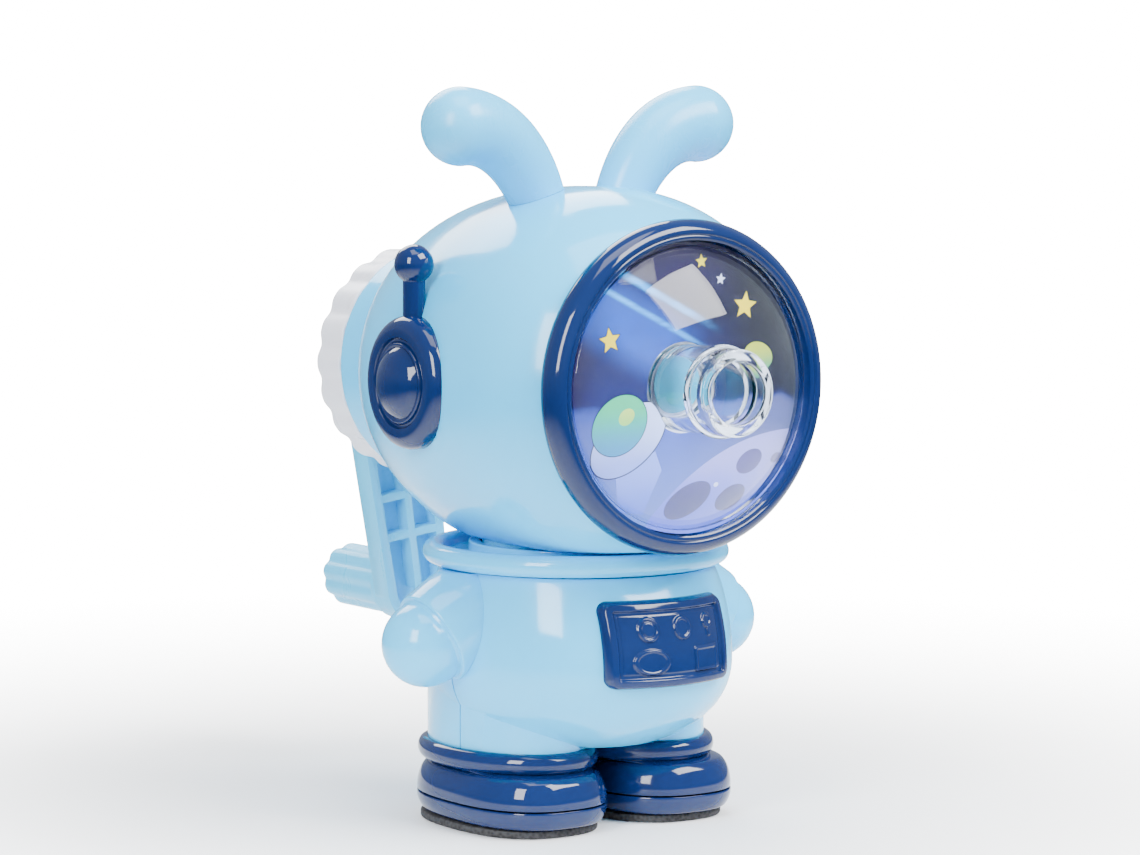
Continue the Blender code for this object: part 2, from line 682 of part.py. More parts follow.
def build_ear(name, side, head_seat):
    """A tube along a bent path that widens to a ball-shaped tip."""
    stations = 9
    path = []
    for index in range(stations + 1):
        share = index / stations
        radius = EAR_ROOT_RADIUS + (EAR_TIP_RADIUS - EAR_ROOT_RADIUS) * share
        path.append((ear_point(share), radius))
    along = (EAR_TIP - EAR_BEND_HIGH).normalized()
    for angle in (25.0, 45.0, 62.0, 76.0, 86.0):
        turn = math.radians(angle)
        path.append((EAR_TIP + along * EAR_TIP_RADIUS * math.sin(turn), EAR_TIP_RADIUS * math.cos(turn)))
    curve = bpy.data.curves.new(name + "_path", "CURVE")
    curve.dimensions = "3D"
    curve.bevel_depth = 1.0
    curve.bevel_resolution = 4
    curve.use_fill_caps = True
    spline = curve.splines.new("POLY")
    spline.points.add(len(path) - 1)
    for point, (position, radius) in zip(spline.points, path):
        point.co = (side * position.x, EAR_Y, position.z, 1.0)
        point.radius = radius
    sweep = bpy.data.objects.new(name + "_sweep", curve)
    CUTTERS.objects.link(sweep)
    ear = baked(sweep, name)
    cut(ear, head_seat)
    add_part(ear, ROOT, "shell_blue")


def build_headphone(name, side, head_seat):
    """A stepped round cover on the side of the head, with an aerial standing on its rim."""
    step_radius = PHONE_STEP_SHARE * PHONE_RADIUS
    boss_radius = PHONE_BOSS_SHARE * PHONE_RADIUS
    boss_height = 3.0 * PHONE_STEP_DROP
    dish = (step_radius - 2.0 * PHONE_STEP_DROP, PHONE_OUT - PHONE_RIM_OUT - PHONE_STEP_DROP)
    profile = [(0.0, PHONE_SEAT), (PHONE_RADIUS, PHONE_SEAT)]
    profile += arc((PHONE_RADIUS - PHONE_RIM_ROUND, PHONE_RIM_OUT - PHONE_RIM_ROUND),
                   (PHONE_RIM_ROUND, PHONE_RIM_ROUND), 0.0, 75.0, 3)
    profile.append((step_radius, PHONE_RIM_OUT + 2.0 * PHONE_STEP_DROP))
    profile.append((step_radius - PHONE_STEP_DROP, PHONE_RIM_OUT))
    profile += arc((0.0, PHONE_RIM_OUT), dish, 0.0, 50.0, 3)
    profile += arc((0.0, PHONE_OUT - boss_height), (boss_radius, boss_height), 0.0, 90.0, 3)
    disc = turned(name, profile, STEPS_MEDIUM)
    stem_root = PHONE_RADIUS - PHONE_STEP_DROP - PHONE_RIM_ROUND - PHONE_RIM_PROUD
    stem = cylinder(name + "_stem", AERIAL_RADIUS, stem_root, AERIAL_BALL_HEIGHT, STEPS_TINY)
    place(stem, ROOT, (side * AERIAL_X, PHONE_Y, AXIS_HEIGHT))
    bm = bmesh.new()
    bmesh.ops.create_uvsphere(bm, u_segments=12, v_segments=8, radius=AERIAL_BALL_RADIUS)
    ball = place(shape_from_bmesh(name + "_ball", bm), ROOT,
                 (side * AERIAL_X, PHONE_Y, AXIS_HEIGHT + AERIAL_BALL_HEIGHT))
    join(disc, stem, ball)
    cut(disc, head_seat)
    add_part(disc, ROOT, "navy_gloss", (0.0, PHONE_Y, AXIS_HEIGHT), (0.0, side * math.pi / 2.0, 0.0))


# ---------------------------------------------------------------- sharpening mechanism
def build_grip_cap():
    """A scalloped cap with a floor that the crank's shaft passes through."""
    outline = scalloped_outline(GRIP_RADIUS, GRIP_RIB_DEPTH, GRIP_RIBS, 4)
    cap = prism("grip_cap", outline, GRIP_FRONT, GRIP_BACK, GRIP_TAPER)
    inside = GRIP_RADIUS - GRIP_RIB_DEPTH - GRIP_SKIRT
    hollow = cylinder("grip_hollow", inside, GRIP_FRONT - WALL, GRIP_FLOOR, STEPS_MEDIUM)
    hole = cylinder("bush_hole", BUSH_RADIUS + GAP, GRIP_FLOOR - WALL, GRIP_BACK + WALL, STEPS_SMALL)
    cut(cap, place(hollow, MAIN_AXIS), place(hole, MAIN_AXIS))
    add_part(cap, MAIN_AXIS, "white_plastic")


def build_cutter_cage(collar_bore):
    """The tube that carries the ring gear from the cap's floor, with windows for the shavings."""
    outer = collar_bore - SLIDE_GAP
    front = GEAR_PLANE + GEAR_WIDTH / 2.0 + GAP
    cage = tube("cutter_cage", outer, outer - CAGE_WALL, front, GRIP_FLOOR - GAP, STEPS_MEDIUM)
    half = CAGE_WINDOW / 2.0
    far = 2.0 * outer
    low, high = front + CAGE_FRONT_BAND, GRIP_FRONT - CAGE_REAR_BAND
    level = box("windows_level", (-far, -half, low), (far, half, high))
    upright = box("windows_upright", (-half, -far, low), (half, far, high))
    cut(cage, place(level, MAIN_AXIS), place(upright, MAIN_AXIS))
    add_part(cage, MAIN_AXIS, "white_plastic")


def build_ring_gear(collar_bore):
    low, high = GEAR_PLANE - GEAR_WIDTH / 2.0, GEAR_PLANE + GEAR_WIDTH / 2.0
    ring = cylinder("ring_gear", collar_bore - SLIDE_GAP, low, high, STEPS_MEDIUM)
    outline = gear_outline(RING_TEETH, PITCH_RING, TOOTH_ROOT, TOOTH_TIP, -TOOTH_PLAY / 2.0)
    reach = GEAR_WIDTH
    near = 1.0 + reach / APEX_TO_RING
    far = 1.0 - reach / APEX_TO_RING
    wide = [(x * near, y * near) for x, y in outline]
    teeth = place(prism("ring_teeth", wide, GEAR_PLANE - reach, GEAR_PLANE + reach, far / near), MAIN_AXIS)
    cut(ring, teeth)
    add_part(ring, MAIN_AXIS, "white_plastic")


def build_bush():
    bore = SHAFT_RADIUS + GAP
    seat = GRIP_FLOOR - GAP
    profile = [(bore, seat - BUSH_FLANGE), (BUSH_FLANGE_RADIUS, seat - BUSH_FLANGE),
               (BUSH_FLANGE_RADIUS, seat),
               (BUSH_RADIUS, seat), (BUSH_RADIUS, BUSH_BACK), (bore, BUSH_BACK)]
    bush = turned("shaft_bush", profile, STEPS_SMALL, closed=True)
    add_part(bush, MAIN_AXIS, "brass")


def build_carrier():
    """Disc, trough, end plate and shaft in one piece, with a conical bore for the pencil's point."""
    profile = [(0.0, NOSE_FRONT), (NOSE_RADIUS, NOSE_FRONT), (NOSE_RADIUS, DISC_FRONT),
               (CARRIER_DISC, DISC_FRONT), (CARRIER_DISC, DISC_BACK), (TROUGH_RADIUS, DISC_BACK),
               (TROUGH_RADIUS, PLATE_FRONT), (CARRIER_DISC, PLATE_FRONT), (CARRIER_DISC, PLATE_BACK),
               (SHAFT_RADIUS, PLATE_BACK), (SHAFT_RADIUS, SHAFT_END), (0.0, SHAFT_END)]
    carrier = turned("cutter_carrier", profile, STEPS_CARRIER)
    wide = 2.0 * CARRIER_DISC
    opening = box("carrier_opening", (-wide, -wide, DISC_BACK), (wide, TROUGH_TOP, PLATE_FRONT))
    cone_start = DISC_BACK + WALL
    cone_end = cone_start + CARRIER_BORE / POINT_TAPER
    bore = cylinder("carrier_bore", CARRIER_BORE, NOSE_FRONT - WALL, cone_start, STEPS_SMALL)
    cone = cylinder("carrier_cone", CARRIER_BORE, cone_start - GAP, cone_end, STEPS_SMALL, CONE_TIP)
    thread_low = SCREW_SEAT - HUB_SCREW_LENGTH - GAP
    thread = cylinder("shaft_thread", HUB_SCREW_RADIUS + GAP, thread_low, SHAFT_END + WALL, STEPS_TINY)
    pin_high = -CUTTER_BACK + 2.0 * WALL
    pin_hole = cylinder("pin_hole", PIN_RADIUS + GAP, -2.0 * APEX_TO_PINION, pin_high, STEPS_TINY)
    for tool in (opening, bore, cone, thread):
        place(tool, MAIN_AXIS)
    cut(carrier, opening, bore, cone, thread, place(pin_hole, CUTTER_AXIS))
    add_part(carrier, MAIN_AXIS, "white_plastic")


def build_cutter_pin():
    low = -(APEX - DISC_FRONT) / math.cos(CUTTER_TILT)
    high = -(APEX - PLATE_BACK) / math.cos(CUTTER_TILT)
    pin = cylinder("cutter_pin", PIN_RADIUS, low, high, STEPS_TINY)
    add_part(pin, CUTTER_AXIS, "steel")


def build_cutter():
    outline = []
    root = CUTTER_RADIUS - FLUTE_DEPTH
    for flute in range(CUTTER_FLUTES):
        for radius, share in ((CUTTER_RADIUS, 0.0), (CUTTER_RADIUS, 0.35), (root, 0.6)):
            angle = 2.0 * math.pi * (flute + share) / CUTTER_FLUTES
            outline.append((radius * math.cos(angle), radius * math.sin(angle)))
    sections = []
    for index in range(CUTTER_SECTIONS + 1):
        share = index / CUTTER_SECTIONS
        height = -CUTTER_FRONT + CUTTER_LENGTH * share
        turn = Matrix.Rotation(CUTTER_TWIST * share, 3, "Z")
        sections.append([turn @ Vector((x, y, height)) for x, y in outline])
    cutter = loft("helical_cutter", sections)
    bore = cylinder("cutter_bore", PIN_RADIUS + GAP, -CUTTER_FRONT - WALL, -CUTTER_BACK + WALL, STEPS_TINY)
    cut(cutter, place(bore, CUTTER_AXIS))
    add_part(cutter, CUTTER_AXIS, "steel")


def build_pinion():
    outline = gear_outline(PINION_TEETH, PITCH_PINION, TOOTH_TIP, TOOTH_ROOT, TOOTH_PLAY / 2.0)
    half = GEAR_WIDTH / 2.0
    near = 1.0 + half / APEX_TO_PINION
    far = 1.0 - half / APEX_TO_PINION
    wide = [(x * near, y * near) for x, y in outline]
    pinion = prism("cutter_pinion", wide, -APEX_TO_PINION - half, -APEX_TO_PINION + half, far / near)
    bore = cylinder("pinion_bore", PIN_RADIUS + GAP, -APEX_TO_PINION - GEAR_WIDTH,
                    -APEX_TO_PINION + GEAR_WIDTH, STEPS_TINY)
    cut(pinion, place(bore, CUTTER_AXIS))
    add_part(pinion, CUTTER_AXIS, "white_plastic")


# ---------------------------------------------------------------- crank and knob
def build_crank_arm():
    """A channel open towards the head, stiffened by one long rib and several cross ribs."""
    outline = tapered_capsule(CRANK_HEAD_RADIUS, CRANK_END_RADIUS, CRANK_LENGTH, 0.0, 8)
    arm = prism("crank_arm", outline, CRANK_FRONT, CRANK_BACK)
    inner = tapered_capsule(CRANK_HEAD_RADIUS, CRANK_END_RADIUS, CRANK_LENGTH, CRANK_WALL, 8)
    pocket = place(prism("crank_pocket", inner, CRANK_FRONT - WALL, CRANK_BACK - CRANK_WEB), CRANK_AXIS)
    low, high = CRANK_FRONT - 2.0 * WALL, CRANK_BACK
    half_rib = CRANK_RIB / 2.0
    long_rib = place(box("long_rib", (-half_rib, 0.0, low), (half_rib, CRANK_LENGTH, high)), CRANK_AXIS)
    cut(pocket, long_rib)
    first, last = HUB_RADIUS, CRANK_LENGTH - CRANK_END_RADIUS
    for index in range(CRANK_CROSS_RIBS):
        middle = first + (last - first) * (index + 0.5) / CRANK_CROSS_RIBS
        cross = place(box("cross_rib_%d" % index, (-2.0 * CRANK_HEAD_RADIUS, middle - half_rib, low),
                          (2.0 * CRANK_HEAD_RADIUS, middle + half_rib, high)), CRANK_AXIS)
        cut(pocket, cross)
    hub = cylinder("crank_hub", HUB_RADIUS, HUB_FRONT, CRANK_BACK - GAP, STEPS_MEDIUM)
    back = CRANK_BACK + WALL
    shaft_bore = cylinder("crank_bore", SHAFT_RADIUS + GAP, HUB_FRONT - WALL, SHAFT_END + GAP, STEPS_SMALL)
    screw_hole = cylinder("screw_hole", HUB_SCREW_RADIUS + GAP, HUB_FRONT, back, STEPS_TINY)
    recess = cylinder("screw_recess", HUB_SCREW_HEAD + GAP, SCREW_SEAT, back, STEPS_SMALL)
    for shape in (hub, shaft_bore, screw_hole, recess):
        place(shape, CRANK_AXIS)
    root = CRANK_BACK - CRANK_WEB / 2.0
    post_profile = [(0.0, root), (POST_RADIUS, root), (POST_RADIUS, POST_SHOULDER),
                    (POST_RADIUS + POST_HEAD, POST_SHOULDER), (POST_RADIUS - POST_HEAD, POST_END),
                    (0.0, POST_END)]
    post = place(turned("knob_post", post_profile, STEPS_SMALL), KNOB_AXIS)
    cut(arm, pocket)
    join(arm, hub, post)
    cut(arm, shaft_bore, screw_hole, recess)
    add_part(arm, CRANK_AXIS, "crank_blue")


def build_hub_screw():
    seat = SCREW_SEAT + GAP
    profile = [(0.0, SCREW_SEAT - HUB_SCREW_LENGTH), (HUB_SCREW_RADIUS, SCREW_SEAT - HUB_SCREW_LENGTH),
               (HUB_SCREW_RADIUS, seat), (HUB_SCREW_HEAD, seat)]
    profile += arc((0.0, seat), (HUB_SCREW_HEAD, HUB_SCREW_HEAD_HEIGHT), 20.0, 90.0, 3)
    screw = turned("hub_screw", profile, STEPS_SMALL)
    top = seat + HUB_SCREW_HEAD_HEIGHT
    low = top - SCREW_SLOT_DEPTH
    long, wide = SCREW_SLOT_LENGTH / 2.0, SCREW_SLOT_WIDTH / 2.0
    for name, half_x, half_y in (("cross_slot_a", long, wide), ("cross_slot_b", wide, long)):
        slot = box(name, (-half_x, -half_y, low), (half_x, half_y, top + WALL))
        cut(screw, place(slot, CRANK_AXIS))
    add_part(screw, CRANK_AXIS, "steel")


def build_knob():
    outline = scalloped_outline(KNOB_RADIUS, KNOB_FLUTE_DEPTH, KNOB_FLUTES, 4)
    sections = []
    for height, share in ((KNOB_FRONT + KNOB_FLANGE / 2.0, 1.0), (KNOB_BACK - KNOB_ROUNDING, 1.0)):
        sections.append([Vector((x * share, y * share, height)) for x, y in outline])
    for angle in (30.0, 55.0, 75.0):
        inward = KNOB_ROUNDING * (1.0 - math.cos(math.radians(angle)))
        share = 1.0 - inward / KNOB_RADIUS
        height = KNOB_BACK - KNOB_ROUNDING * (1.0 - math.sin(math.radians(angle)))
        sections.append([Vector((x * share, y * share, height)) for x, y in outline])
    share = 1.0 - KNOB_ROUNDING / KNOB_RADIUS
    sections.append([Vector((x * share, y * share, KNOB_BACK)) for x, y in outline])
    knob = loft("knob", sections)
    flange = cylinder("knob_flange", KNOB_FLANGE_RADIUS, KNOB_FRONT, KNOB_FRONT + KNOB_FLANGE, STEPS_MEDIUM)
    bore = cylinder("knob_bore", POST_RADIUS + KNOB_PLAY, KNOB_FRONT - WALL, POST_SHOULDER, STEPS_SMALL)
    pocket = cylinder("knob_pocket", POST_RADIUS + POST_HEAD + GAP,
                      POST_SHOULDER - GAP, POST_END + WALL, STEPS_SMALL)
    for shape in (flange, bore, pocket):
        place(shape, KNOB_AXIS)
    join(knob, flange)
    cut(knob, bore, pocket)
    add_part(knob, KNOB_AXIS, "crank_blue")


# ---------------------------------------------------------------- body
def torso_radius(z, inset=0.0):
    reach = (TORSO_UPPER if z > TORSO_WIDEST else TORSO_LOWER) - inset
    share = min(abs(z - TORSO_WIDEST) / reach, 1.0)
    return (TORSO_RADIUS - inset) * (1.0 - share ** TORSO_POWER) ** (1.0 / TORSO_POWER)


def belly_factor(z):
    away = (z - BELLY_MIDDLE) / BELLY_SPAN
    return 1.0 + BELLY_PUSH * max(0.0, 1.0 - away ** 2)


def torso_barrel(name, inset, top, count, steps):
    """The body's barrel up to a flat top, its front half pushed forward into a belly."""
    bottom = TORSO_BOTTOM + inset
    profile = [(0.0, bottom)]
    for index in range(count + 1):
        share = 1.0 - math.cos(math.pi / 2.0 * index / count)
        z = bottom + (top - bottom) * share
        profile.append((torso_radius(z, inset), z))
    profile.append((0.0, top))
    barrel = baked(turned(name + "_turned", profile, steps), name)
    for vert in barrel.data.vertices:
        if vert.co.y < 0.0:
            vert.co.y *= belly_factor(vert.co.z)
    return place(barrel, ROOT)


def leg_column(name, side, inset, low, high):
    outline = superellipse(LEG_HALF_WIDTH - inset, LEG_HALF_DEPTH - inset, 2.0, STEPS_MEDIUM)
    column = prism(name, outline, low, high)
    return place(column, ROOT, (side * LEG_X, LEG_Y, 0.0))


def build_torso_half(name, is_front):
    half = torso_barrel(name, 0.0, TORSO_TOP, ROWS_OUTER, STEPS_LARGE)
    cavity = torso_barrel(name + "_cavity", WALL, TORSO_TOP - WALL, ROWS_INNER, STEPS_MEDIUM)
    for side in (-1, 1):
        label = "%s_leg_%d" % (name, side)
        join(half, leg_column(label, side, 0.0, LEG_BOTTOM, TORSO_WIDEST))
        join(cavity, leg_column(label + "_cavity", side, WALL, LEG_BOTTOM + WALL, TORSO_WIDEST))
    mouth_radius = SPIGOT_RADIUS + 2.0 * GAP + NECK_SKIRT_WALL
    mouth = cylinder(name + "_mouth", mouth_radius, TORSO_TOP - 2.0 * WALL, TORSO_TOP + WALL, STEPS_MEDIUM)
    place(mouth, ROOT)
    wide = 2.0 * TORSO_RADIUS
    seam = GAP / 2.0
    low_y, high_y = (-seam, wide) if is_front else (-wide, seam)
    other_half = place(box(name + "_other_half", (-wide, low_y, -wide), (wide, high_y, 2.0 * wide)), ROOT)
    cut(half, cavity, mouth, other_half)
    add_part(half, ROOT, "shell_blue")


def build_neck_ring():
    bore = SPIGOT_RADIUS + GAP
    skirt = bore + NECK_SKIRT_WALL
    seat = bore + NECK_SEAT
    rim_centre = (NECK_RADIUS - NECK_RIM, (NECK_TOP + NECK_BOTTOM) / 2.0)
    rim_height = (NECK_TOP - NECK_BOTTOM) / 2.0
    plate = NECK_BOTTOM + NECK_PLATE
    profile = [(bore, NECK_BOTTOM - NECK_SKIRT), (bore, NECK_TOP), (seat, NECK_TOP), (seat, plate),
               (rim_centre[0] - NECK_RIM, plate)]
    profile += arc(rim_centre, (NECK_RIM, rim_height), 150.0, -90.0, 6)
    profile += [(skirt, NECK_BOTTOM), (skirt, NECK_BOTTOM - NECK_SKIRT)]
    ring = turned("neck_ring", profile, STEPS_LARGE, closed=True)
    add_part(ring, ROOT, "shell_blue")


def build_arm(name, side, torso_seat):
    """A sleeve that ends in a step at the wrist, and a round hand."""
    along = ARM_HAND - ARM_SHOULDER
    length = along.length
    wrist = length - WRIST_SETBACK
    edge = ARM_EDGE_ROUND
    profile = [(0.0, 0.0), (ARM_SHOULDER_RADIUS, 0.0)]
    profile.append(((ARM_SHOULDER_RADIUS + ARM_WRIST_RADIUS) / 2.0 + edge / 2.0, wrist / 2.0))
    profile += arc((ARM_WRIST_RADIUS - edge, wrist - edge), (edge, edge), 0.0, 90.0, 2)
    profile.append((HAND_RADIUS, wrist))
    profile += arc((0.0, length), (HAND_RADIUS, HAND_RADIUS), 0.0, 90.0, 5)
    arm = turned(name, profile, STEPS_MEDIUM)
    under_neck = place(box(name + "_under_neck", (-2.0 * NECK_RADIUS, -NECK_RADIUS, NECK_BOTTOM - GAP),
                           (2.0 * NECK_RADIUS, NECK_RADIUS, 2.0 * NECK_TOP)), ROOT)
    cut(arm, torso_seat, under_neck)
    tilt = math.atan2(along.x, along.z)
    add_part(arm, ROOT, "shell_blue", (side * ARM_SHOULDER.x, ARM_SHOULDER.y, ARM_SHOULDER.z),
             (0.0, side * tilt, 0.0))


def build_belly_panel(torso_seat):
    outline = rounded_rectangle(PANEL_HALF_WIDTH, PANEL_HALF_HEIGHT, PANEL_CORNER, 3)
    panel = prism("belly_panel", outline, 0.0, 2.0 * TORSO_RADIUS)
    skin = torso_barrel("panel_skin", -GAP - PANEL_THICKNESS, TORSO_TOP, ROWS_OUTER, STEPS_LARGE)
    boolean(panel, skin, "INTERSECT")
    cut(panel, torso_seat)
    add_part(panel, ROOT, "navy_gloss", (0.0, 0.0, PANEL_HEIGHT), (math.pi / 2.0, 0.0, 0.0))


# ---------------------------------------------------------------- shoes
def shoe_section(half_x, half_y, power, centre, z):
    outline = superellipse(half_x, half_y, power, STEPS_MEDIUM)
    return [Vector((centre[0] + x, centre[1] + y, z)) for x, y in outline]


def build_shoe(name, side):
    """A rounded upper that ends in a cuff round the leg, hollow from below."""
    centre = (side * SHOE_X, SHOE_Y)
    leg = (side * LEG_X, LEG_Y)
    bottom = SHOE_WELT + GAP / 2.0
    swell = SHOE_SHOULDER - bottom
    sections = [shoe_section(SHOE_HALF_WIDTH, SHOE_HALF_DEPTH, SHOE_POWER, centre, bottom)]
    for angle in (15.0, 35.0, 60.0, 85.0):
        inward = SHOE_SHOULDER_PULL * (1.0 - math.cos(math.radians(angle)))
        z = bottom + swell * math.sin(math.radians(angle))
        half_x, half_y = SHOE_HALF_WIDTH - inward, SHOE_HALF_DEPTH - inward
        sections.append(shoe_section(half_x, half_y, SHOE_POWER, centre, z))
    middle = (SHOE_SHOULDER + SHOE_TOP) / 2.0
    half_cuff = (SHOE_TOP - SHOE_SHOULDER) / 2.0
    for angle in (-50.0, 0.0, 45.0, 80.0):
        reach = SHOE_CUFF * math.cos(math.radians(angle))
        z = middle + half_cuff * math.sin(math.radians(angle))
        sections.append(shoe_section(LEG_HALF_WIDTH + GAP + reach, LEG_HALF_DEPTH + GAP + reach, 2.0, leg, z))
    for section in sections:
        for point in section:
            point.x = side * max(side * point.x, GAP / 2.0)
    upper = loft(name, sections)
    socket = leg_column(name + "_socket", side, -GAP, LEG_BOTTOM - GAP, SHOE_TOP + WALL)
    half_x, half_y = SHOE_HALF_WIDTH - WALL, SHOE_HALF_DEPTH - WALL
    hollow_top = LEG_BOTTOM - GAP - WALL
    low = shoe_section(half_x, half_y, SHOE_POWER, centre, bottom - WALL)
    high = shoe_section(half_x - WALL, half_y - WALL, SHOE_POWER, centre, hollow_top)
    hollow = place(loft(name + "_hollow", [low, high]), ROOT)
    cut(upper, socket, hollow)
    add_part(upper, ROOT, "navy_gloss")


def build_shoe_base(name, side):
    centre = (side * SHOE_X, SHOE_Y)
    top = SHOE_WELT - GAP / 2.0
    height = top - SHOE_BASE_BOTTOM
    sections = []
    for share, inward in ((0.0, 1.3 * MM), (0.25, 0.5 * MM), (0.6, 0.1 * MM), (1.0, 0.0)):
        sections.append(shoe_section(SHOE_HALF_WIDTH - inward, SHOE_HALF_DEPTH - inward, SHOE_POWER, centre,
                                     SHOE_BASE_BOTTOM + height * share))
    base = loft(name, sections)
    add_part(base, ROOT, "navy_gloss")


def build_sole(name, side):
    centre = (side * SOLE_X, SOLE_Y)
    sections = [shoe_section(SOLE_HALF_WIDTH, SOLE_HALF_DEPTH, SHOE_POWER, centre, z)
                for z in (0.0, SOLE_THICKNESS)]
    sole = loft(name, sections)
    add_part(sole, ROOT, "black_foam")


# ---------------------------------------------------------------- assembly
clear_scene()
SHARPENER = new_collection("pencil_sharpener")
CUTTERS = new_collection("cutters")

ROOT = add_frame("sharpener_root", None, (0.0, MODEL_SHIFT, 0.0))
MAIN_AXIS = add_frame("main_axis", ROOT, (0.0, 0.0, AXIS_HEIGHT), (-math.pi / 2.0, 0.0, 0.0))
CUTTER_AXIS = add_frame("cutter_axis", MAIN_AXIS, (0.0, 0.0, APEX), (-CUTTER_TILT, 0.0, 0.0))
CRANK_AXIS = add_frame("crank_axis", MAIN_AXIS, (0.0, 0.0, 0.0), (0.0, 0.0, -CRANK_LEAN))
KNOB_AXIS = add_frame("knob_axis", CRANK_AXIS, (0.0, CRANK_LENGTH, 0.0))

build_head_shell()
mechanism_bore = build_rear_collar()
guide_bore = build_visor_ring()
build_visor_dome()
build_star_card()
build_pencil_guide(guide_bore)
build_grip_cap()
build_cutter_cage(mechanism_bore)
build_ring_gear(mechanism_bore)
build_bush()
build_carrier()
build_cutter_pin()
build_cutter()
build_pinion()
build_crank_arm()
build_hub_screw()
build_knob()
build_neck_ring()
build_torso_half("torso_front", True)
build_torso_half("torso_back", False)
on_head = head_barrel("head_seat", -GAP, 0.0, ROWS_OUTER, STEPS_LARGE)
on_torso = torso_barrel("torso_seat", -GAP, NECK_TOP, ROWS_OUTER, STEPS_LARGE)
build_belly_panel(on_torso)
for label, direction in (("left", -1), ("right", 1)):
    build_ear("ear_" + label, direction, on_head)
    build_headphone("headphone_" + label, direction, on_head)
    build_arm("arm_" + label, direction, on_torso)
    build_shoe("shoe_" + label, direction)
    build_shoe_base("shoe_base_" + label, direction)
    build_sole("sole_" + label, direction)
bpy.context.view_layer.update()
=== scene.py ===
"""Looks of a crank pencil sharpener shaped like a small space traveller with two long ears.

Each piece is made in millimetres in the frame of its own axis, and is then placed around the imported
part. The front faces -Y, +Z is up, and "left" and "right" are as seen from the front.
"""
import math

import bmesh
import bpy
from mathutils import Matrix, Vector


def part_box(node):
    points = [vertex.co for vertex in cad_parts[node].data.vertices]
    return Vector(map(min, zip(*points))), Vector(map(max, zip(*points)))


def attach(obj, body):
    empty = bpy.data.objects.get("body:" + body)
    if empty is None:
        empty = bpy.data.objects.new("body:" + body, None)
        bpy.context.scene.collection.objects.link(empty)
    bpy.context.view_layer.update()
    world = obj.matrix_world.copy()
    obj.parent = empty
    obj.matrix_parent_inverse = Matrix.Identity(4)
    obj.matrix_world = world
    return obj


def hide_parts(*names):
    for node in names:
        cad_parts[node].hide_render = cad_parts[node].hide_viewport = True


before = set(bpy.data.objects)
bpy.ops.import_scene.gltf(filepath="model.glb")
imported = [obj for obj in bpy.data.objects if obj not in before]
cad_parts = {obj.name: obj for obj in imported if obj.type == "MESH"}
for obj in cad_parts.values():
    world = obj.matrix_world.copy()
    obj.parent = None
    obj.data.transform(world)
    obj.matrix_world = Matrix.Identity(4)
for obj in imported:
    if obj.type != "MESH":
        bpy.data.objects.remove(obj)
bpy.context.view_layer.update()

MM = 0.001
GAP = 0.3
WALL = 2.0
STEPS = 128                      # round pieces
STEPS_SMALL = 64                 # small round pieces
STEPS_WINDOW = 160               # the window, its ring and its card


# ---------------------------------------------------------------- frames
def move(x, y, z):
    return Matrix.Translation((x, y, z))


def turn(degrees, axis):
    return Matrix.Rotation(math.radians(degrees), 4, axis)


HEAD_FRONT = -28.6
HEAD_REAR = 36.0
CUTTER_TILT = 11.3
CRANK_LEAN = 7.5
CRANK_LENGTH = 44.0
GEAR_PLANE = 0.5
GEAR_HALF = 1.5
CUTTER_RADIUS, CUTTER_LENGTH = 4.5, 22.5
PITCH_RING, PITCH_PINION = 13.5, 4.5
PINION_CONE = math.atan(math.sin(math.radians(CUTTER_TILT)) / (3.0 - math.cos(math.radians(CUTTER_TILT))))
APEX_TO_RING = PITCH_RING / math.tan(PINION_CONE + math.radians(CUTTER_TILT))
APEX_TO_PINION = PITCH_PINION / math.tan(PINION_CONE)
APEX = GEAR_PLANE + APEX_TO_RING

head_low, head_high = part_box("head_shell")
ring_low, ring_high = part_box("visor_ring")
SHIFT = head_low.y / MM - HEAD_FRONT
AXIS_HEIGHT = (ring_low.z + ring_high.z) / 2.0 / MM

BODY = Matrix.Scale(MM, 4) @ move(0.0, SHIFT, 0.0)
MAIN_LOCAL = move(0.0, 0.0, AXIS_HEIGHT) @ turn(-90.0, "X")
MAIN = BODY @ MAIN_LOCAL
CUTTER_LOCAL = move(0.0, 0.0, APEX) @ turn(-CUTTER_TILT, "X")
CUTTER = MAIN @ CUTTER_LOCAL
CRANK = MAIN @ turn(-CRANK_LEAN, "Z")
KNOB = CRANK @ move(0.0, CRANK_LENGTH, 0.0)


# ---------------------------------------------------------------- materials
def linear(red, green, blue):
    """Screen colour, 0 to 255, as the linear colour that a shader takes."""
    channels = []
    for value in (red, green, blue):
        share = value / 255.0
        channels.append(share / 12.92 if share <= 0.04045 else ((share + 0.055) / 1.055) ** 2.4)
    return (*channels, 1.0)


